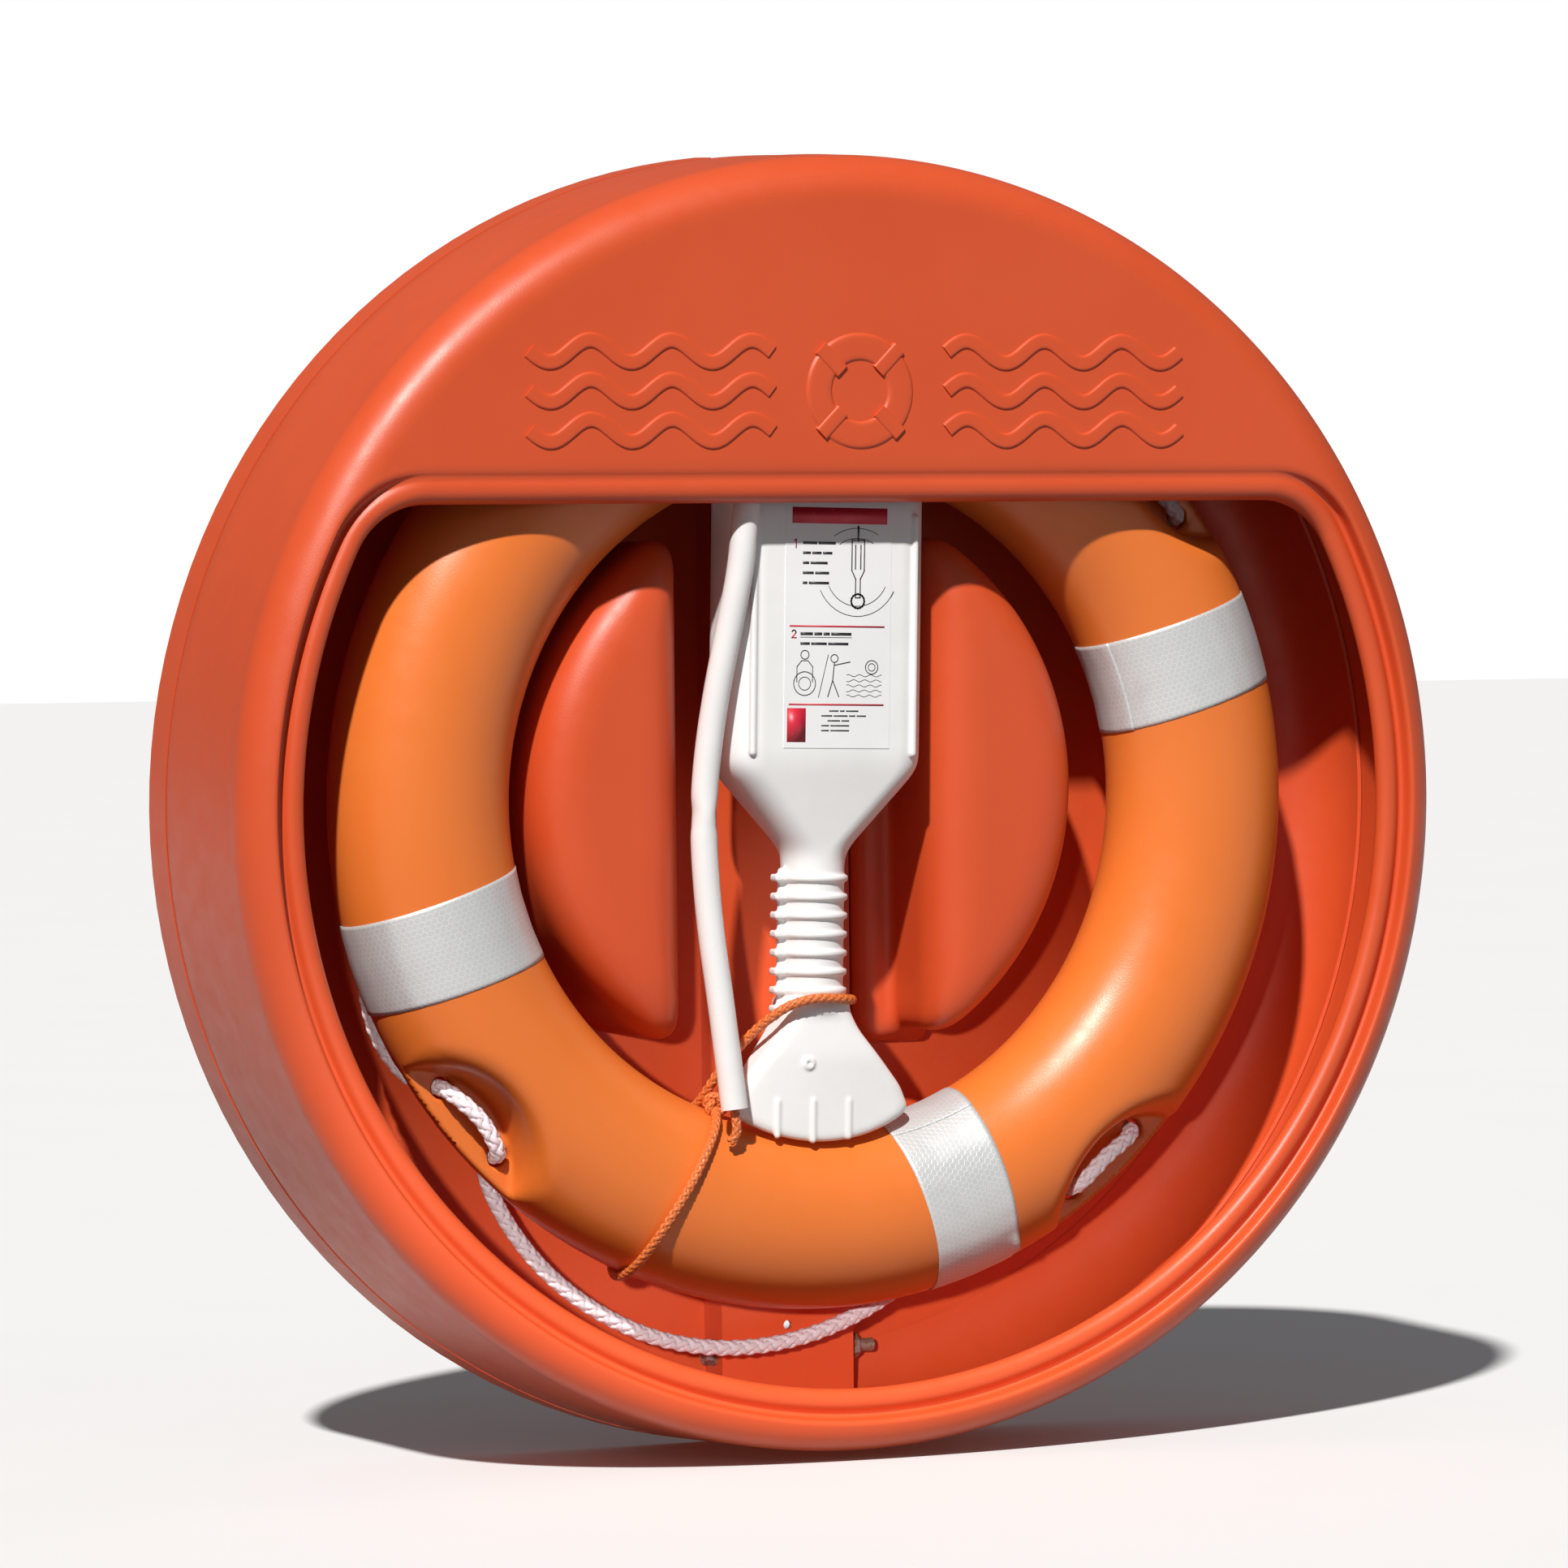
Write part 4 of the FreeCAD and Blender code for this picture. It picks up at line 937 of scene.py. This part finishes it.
def holder_shape(x, y, z):
    """Bottle, ribbed handle with its flange and teeth, and the fan, about the holder's axis."""
    qx, qy = np.abs(x) - HALF_WIDTH(z) + CORNER, np.abs(y) - HALF_THICK(z) + CORNER
    body = np.hypot(np.maximum(qx, 0), np.maximum(qy, 0)) + np.minimum(np.maximum(qx, qy), 0) - CORNER
    body = body * 0.82
    body = smooth_max(smooth_max(body, z - 184 * MM, 5 * MM), -124 * MM - z, 4 * MM)
    fan = np.abs(x) - FAN_WIDTH(z)
    fan = smooth_max(fan * 0.72, np.hypot(x, z + 105 * MM) - 97 * MM, 5 * MM)
    crown = 4.5 * MM * (x / (59 * MM)) ** 2
    fan = smooth_max(fan, -FAN_FRONT(z) + crown - y, 7 * MM)
    fan = smooth_max(fan, y - FAN_BACK(z), 7 * MM)
    fan = smooth_max(fan, z + 116 * MM, 4 * MM)
    solid = smooth_min(body, fan, 6 * MM)
    around = np.hypot(x, y)
    for number in range(RIB_COUNT):
        middle = (RIB_TOP - RIB_PITCH * number) * MM
        rib = smooth_max(around - 21.2 * MM, np.abs(z - middle) - 1.9 * MM, 1.6 * MM)
        tooth = smooth_max(np.abs(z - middle) - 2.2 * MM, np.abs(y + 2 * MM) - 5 * MM, 1.4 * MM)
        tooth = smooth_max(tooth, np.abs(x + 20 * MM) - 6.2 * MM, 1.4 * MM)
        solid = smooth_min(solid, np.minimum(rib, tooth), 1.6 * MM)
    flange = smooth_max(np.abs(y + 2 * MM) - 1.6 * MM, np.abs(x + 19 * MM) - 4 * MM, 1.2 * MM)
    flange = smooth_max(flange, np.abs(z + 82 * MM) - 44 * MM, 3 * MM)
    solid = smooth_min(solid, flange, 1.5 * MM)
    for at in (-51, 52):
        solid = smooth_min(solid, capsule(x, y, z, (at, -27.9, 30), (at, -27.9, 170), 2), 1.5 * MM)
    for at, top, low in FAN_BEADS:
        front = -FAN_FRONT(np.array((top + low) / 2 * MM)) / MM + 4.5 * (at / 59) ** 2
        solid = smooth_min(solid, capsule(x, y, z, (at, front + 1, top), (at, front + 1, low), 2), 1.2 * MM)
    gate = np.hypot(x - GATE_MARK[0], z - GATE_MARK[1])
    boss = smooth_max(gate - 4 * MM, np.abs(y + 21 * MM) - 2.2 * MM, 1.4 * MM)
    dimple = 1.4 * MM - np.hypot(gate, y + 23.4 * MM)
    return smooth_max(smooth_min(solid, boss, 1.2 * MM), dimple, 0.8 * MM)


def make_holder():
    low, high = np.array((-66, -34, -207)) * MM, np.array((66, 34, 189)) * MM
    cloud, faces = moulded(holder_shape, low, high, 1.25 * MM)
    thing = piece("holder_body", from_holder(cloud), faces, HOLDER, "line_holder", sharp=0)
    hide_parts("holder_bottle")


def make_label_print():
    """Generic print: a red header, rules, dashes for text, numerals and simple signs."""
    red, black = [], []
    level = -29.42 * MM

    def quad(store, corners):
        store.append([(x * MM, level, z * MM) for x, z in corners])

    def bar(store, x0, x1, z0, z1):
        quad(store, [(x0, z0), (x1, z0), (x1, z1), (x0, z1)])

    def stroke(store, line, width):
        for (x0, z0), (x1, z1) in zip(line, line[1:]):
            size = sqrt((x1 - x0) ** 2 + (z1 - z0) ** 2)
            dx, dz = (x1 - x0) / size * width / 2, (z1 - z0) / size * width / 2
            quad(store, [(x0 - dx + dz, z0 - dz - dx), (x1 + dx + dz, z1 + dz - dx),
                         (x1 + dx - dz, z1 + dz + dx), (x0 - dx - dz, z0 - dz + dx)])

    def arc(x, z, radius, start, end, steps=16):
        return [(x + radius * cos(radians(start + (end - start) * i / steps)),
                 z + radius * sin(radians(start + (end - start) * i / steps))) for i in range(steps + 1)]

    def dashes(x0, z, height, widths):
        for width in widths:
            bar(black, x0, x0 + width, z - height / 2, z + height / 2)
            x0 += width + 0.9
    bar(red, -28, 33, 165.5, 175)
    bar(red, -29, 32, 104.4, 105.4)
    bar(red, -29, 32, 58.2, 59.2)
    bar(red, -30, -18, 36.5, 56.5)
    first = ((9, 11), (5, 6, 6), (4, 11), (7, 9), (3, 13))
    for number, widths in enumerate(first):
        dashes(-21, 154 - 5.9 * number, 1.5, widths)
    dashes(-22, 100.4, 1.7, (8, 5, 4, 13))
    dashes(-22, 94.6, 1.5, (6, 10, 13))
    bar(black, -22, 11, 98.2, 98.5)
    for number, widths in enumerate(((6, 3, 8), (7, 9, 4, 6), (8, 5), (5, 12), (5, 12))):
        dashes((-3, -8, -4, -8, -8)[number], 55 - 2.9 * number, 0.8, widths)
    stroke(red, [(-26.4, 155.2), (-25.4, 156), (-25.4, 151)], 0.7)
    stroke(red, arc(-26.2, 101.2, 1.2, 160, -20) + [(-27.4, 98), (-24.8, 98)], 0.7)
    # the holder being pulled up, in front of part of the ring
    for radius in (20, 26):
        stroke(black, arc(14, 137, radius, 205, 335), 0.4)
        stroke(black, arc(14, 137, radius, 60, 125), 0.4)
    stroke(black, [(10.5, 156), (10.5, 138), (13, 133), (13, 122), (16, 122), (16, 133), (18.5, 138),
                   (18.5, 156), (10.5, 156)], 0.7)
    for x in (12.8, 16.2):
        stroke(black, [(x, 153), (x, 139)], 0.7)
    stroke(black, [(14.5, 156), (14.5, 164)], 1.2)
    stroke(black, arc(14.5, 120, 4.2, 0, 360), 1.1)
    # the ring held, then the ring thrown
    for x, z, size in ((-19, 71, 7), (24, 81, 4)):
        stroke(black, arc(x, z, size, 0, 360, 24), 0.5)
        stroke(black, arc(x, z, size * 0.55, 0, 360, 24), 0.4)
    for line, width in (
        (arc(-19, 88, 2.6, 0, 360), 0.5),
        ([(-24, 72), (-24, 81), (-21, 84.5), (-17, 84.5), (-14, 81), (-14, 72)], 0.5),
        (arc(0, 86, 2.3, 0, 360), 0.5),
        ([(0, 83.6), (-1, 73), (-4, 63.5)], 0.6), ([(-1, 73), (3, 63.5)], 0.6),
        ([(0, 82), (10, 84)], 0.6), ([(-10, 63), (-4, 88)], 0.4),
    ):
        stroke(black, line, width)
    for z in (64, 67, 70, 73, 76):
        wave = [(8 + 0.8 * i, z + 0.6 * sin(i * 0.7 + z)) for i in range(29)]
        stroke(black, wave, 0.3)
    for name, store, look in (("label_print_red", red, PRINT_RED), ("label_print_black", black, PRINT_BLACK)):
        cloud = from_holder([point for corners in store for point in corners])
        faces = [tuple(range(4 * i, 4 * i + 4)) for i in range(len(store))]
        thing = piece(name, cloud, faces, look, "line_holder", sharp=0)
        thick = thing.modifiers.new("ink", "SOLIDIFY")
        thick.thickness = 0.05 * MM


def make_sleeve():
    """The open plastic tube over the throwing line, with a kink half way down."""
    route = np.array(SLEEVE_ROUTE) * MM
    points, along = evenly(route_points("line_sleeve", route), 2 * MM)
    side, other = frames_along(points)
    sides = 28
    turn = np.linspace(0, 2 * pi, sides, endpoint=False)
    kink = np.exp(-((points[:, 2] + 4 * MM) / (7 * MM)) ** 2)
    crease = np.exp(-((points[:, 2] + 12 * MM) / (3.5 * MM)) ** 2)
    layers = []
    for radius, way in ((SLEEVE_RADIUS, 1), (SLEEVE_RADIUS - SLEEVE_WALL, -1)):
        rows = []
        for i in range(len(points)):
            wide = radius * (1 + 0.07 * kink[i])
            flat = radius * (1 - 0.16 * kink[i] - 0.05 * crease[i])
            dent = 1 - 0.10 * crease[i] * np.maximum(np.cos(turn - 0.6), 0) ** 4
            out = side[i] * (wide * np.cos(turn) * dent)[:, None]
            rows.append(points[i] + (out + other[i] * (flat * np.sin(turn) * dent)[:, None]))
        layers.append(rows if way > 0 else rows[::-1])
    cloud = np.concatenate(layers[0] + layers[1])
    faces = grid_faces(len(points) * 2, sides, True, True)
    uv = np.stack([np.tile(np.repeat(along, sides), 2), np.tile(turn * SLEEVE_RADIUS, 2 * len(points))], 1)
    thing = piece("sleeve_tube", cloud, faces, SLEEVE, "line_holder", uv)
    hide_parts("line_sleeve")


def section_point(angle, turn):
    """A point just outside the ring's section."""
    radius = RING_MIDDLE - (RING_HALF_WIDTH + LASHING_GAP) * cos(radians(turn))
    rise = (RING_HALF_DEPTH + LASHING_GAP) * sin(radians(turn))
    return ring_point(angle, radius, -RING_CENTRE[1] + rise)


def in_metres(route):
    """A route's points, given in millimetres."""
    return [tuple(v * MM for v in point) for point in route]


KNOT_RADIUS = 2.6 * MM
KNOT_PITCH = 16 * MM


def make_throw_line():
    """The lashing with its knot, the end that leaves the sleeve, and the tie."""
    def line(name, route, body):
        return rope(
            name, route, THROW_LINE_RADIUS, THROW_LINE_PITCH, THROW_ROPE, body, 1.1 * MM,
        )
    knot_at = section_point(*LASHING_ROUTE[0])
    lashing, path, length = line("lashing_braid", [section_point(*p) for p in LASHING_ROUTE], "lifebuoy")
    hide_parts("ring_lashing")
    knot = []
    for i in range(80):
        t = 2 * pi * i / 80
        wrap = 1.5 + 0.6 * cos(3 * t)
        knot.append((
            knot_at[0] + 2.9 * MM * wrap * cos(2 * t), knot_at[1] + 2.2 * MM * sin(3 * t) - 3 * MM,
            knot_at[2] + 2.9 * MM * wrap * sin(2 * t) + 1 * MM,
        ))
    knot.append(knot[0])
    points, along = evenly(np.array(knot), 1.0 * MM)
    cloud, faces, uv = braid(points, along, KNOT_RADIUS, KNOT_PITCH)
    knot_piece = piece("lashing_knot", cloud, faces, THROW_ROPE, "lifebuoy", uv, sharp=0)
    lead, path, length = line("lead_braid", in_metres(SLEEVE_ROUTE[4:] + LEAD_ROUTE), None)
    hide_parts("throw_line_lead")
    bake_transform(lead)
    tie, path, length = line("tie_braid", in_metres(TIE_ROUTE), None)
    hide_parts("handle_tie")
    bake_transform(tie)


# ---- carried-over CAD

def paint_cad_nodes():
    """Give every CAD node that stays in view its own material."""
    looks = {
        "back_shell": HOUSING, "post_bolts": STEEL, "post_nuts": STEEL, "post_washers": STEEL,
        "foam_core": FOAM, "filling_plug": RING, "holder_cap": HOLDER, "stored_line": THROW_ROPE,
        "instruction_label": LABEL, "grab_line_joint_sleeve": SLEEVE,
    }
    for label, look in looks.items():
        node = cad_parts[label]
        node.data.materials.clear()
        node.data.materials.append(look)


add_camera()
add_floor()
make_front_cover()
make_hood_relief()
make_cove()
make_locator("left_ring_locator", -1, -92 * MM)
make_locator("right_ring_locator", 1, 67 * MM)
make_ring()
make_tape(1, 31)
make_tape(2, 205)
make_tape(3, 200)
make_tape(4, 34, lift_turn=142)
make_grab_line()
make_holder()
make_label_print()
make_sleeve()
make_throw_line()
paint_cad_nodes()
add_light()
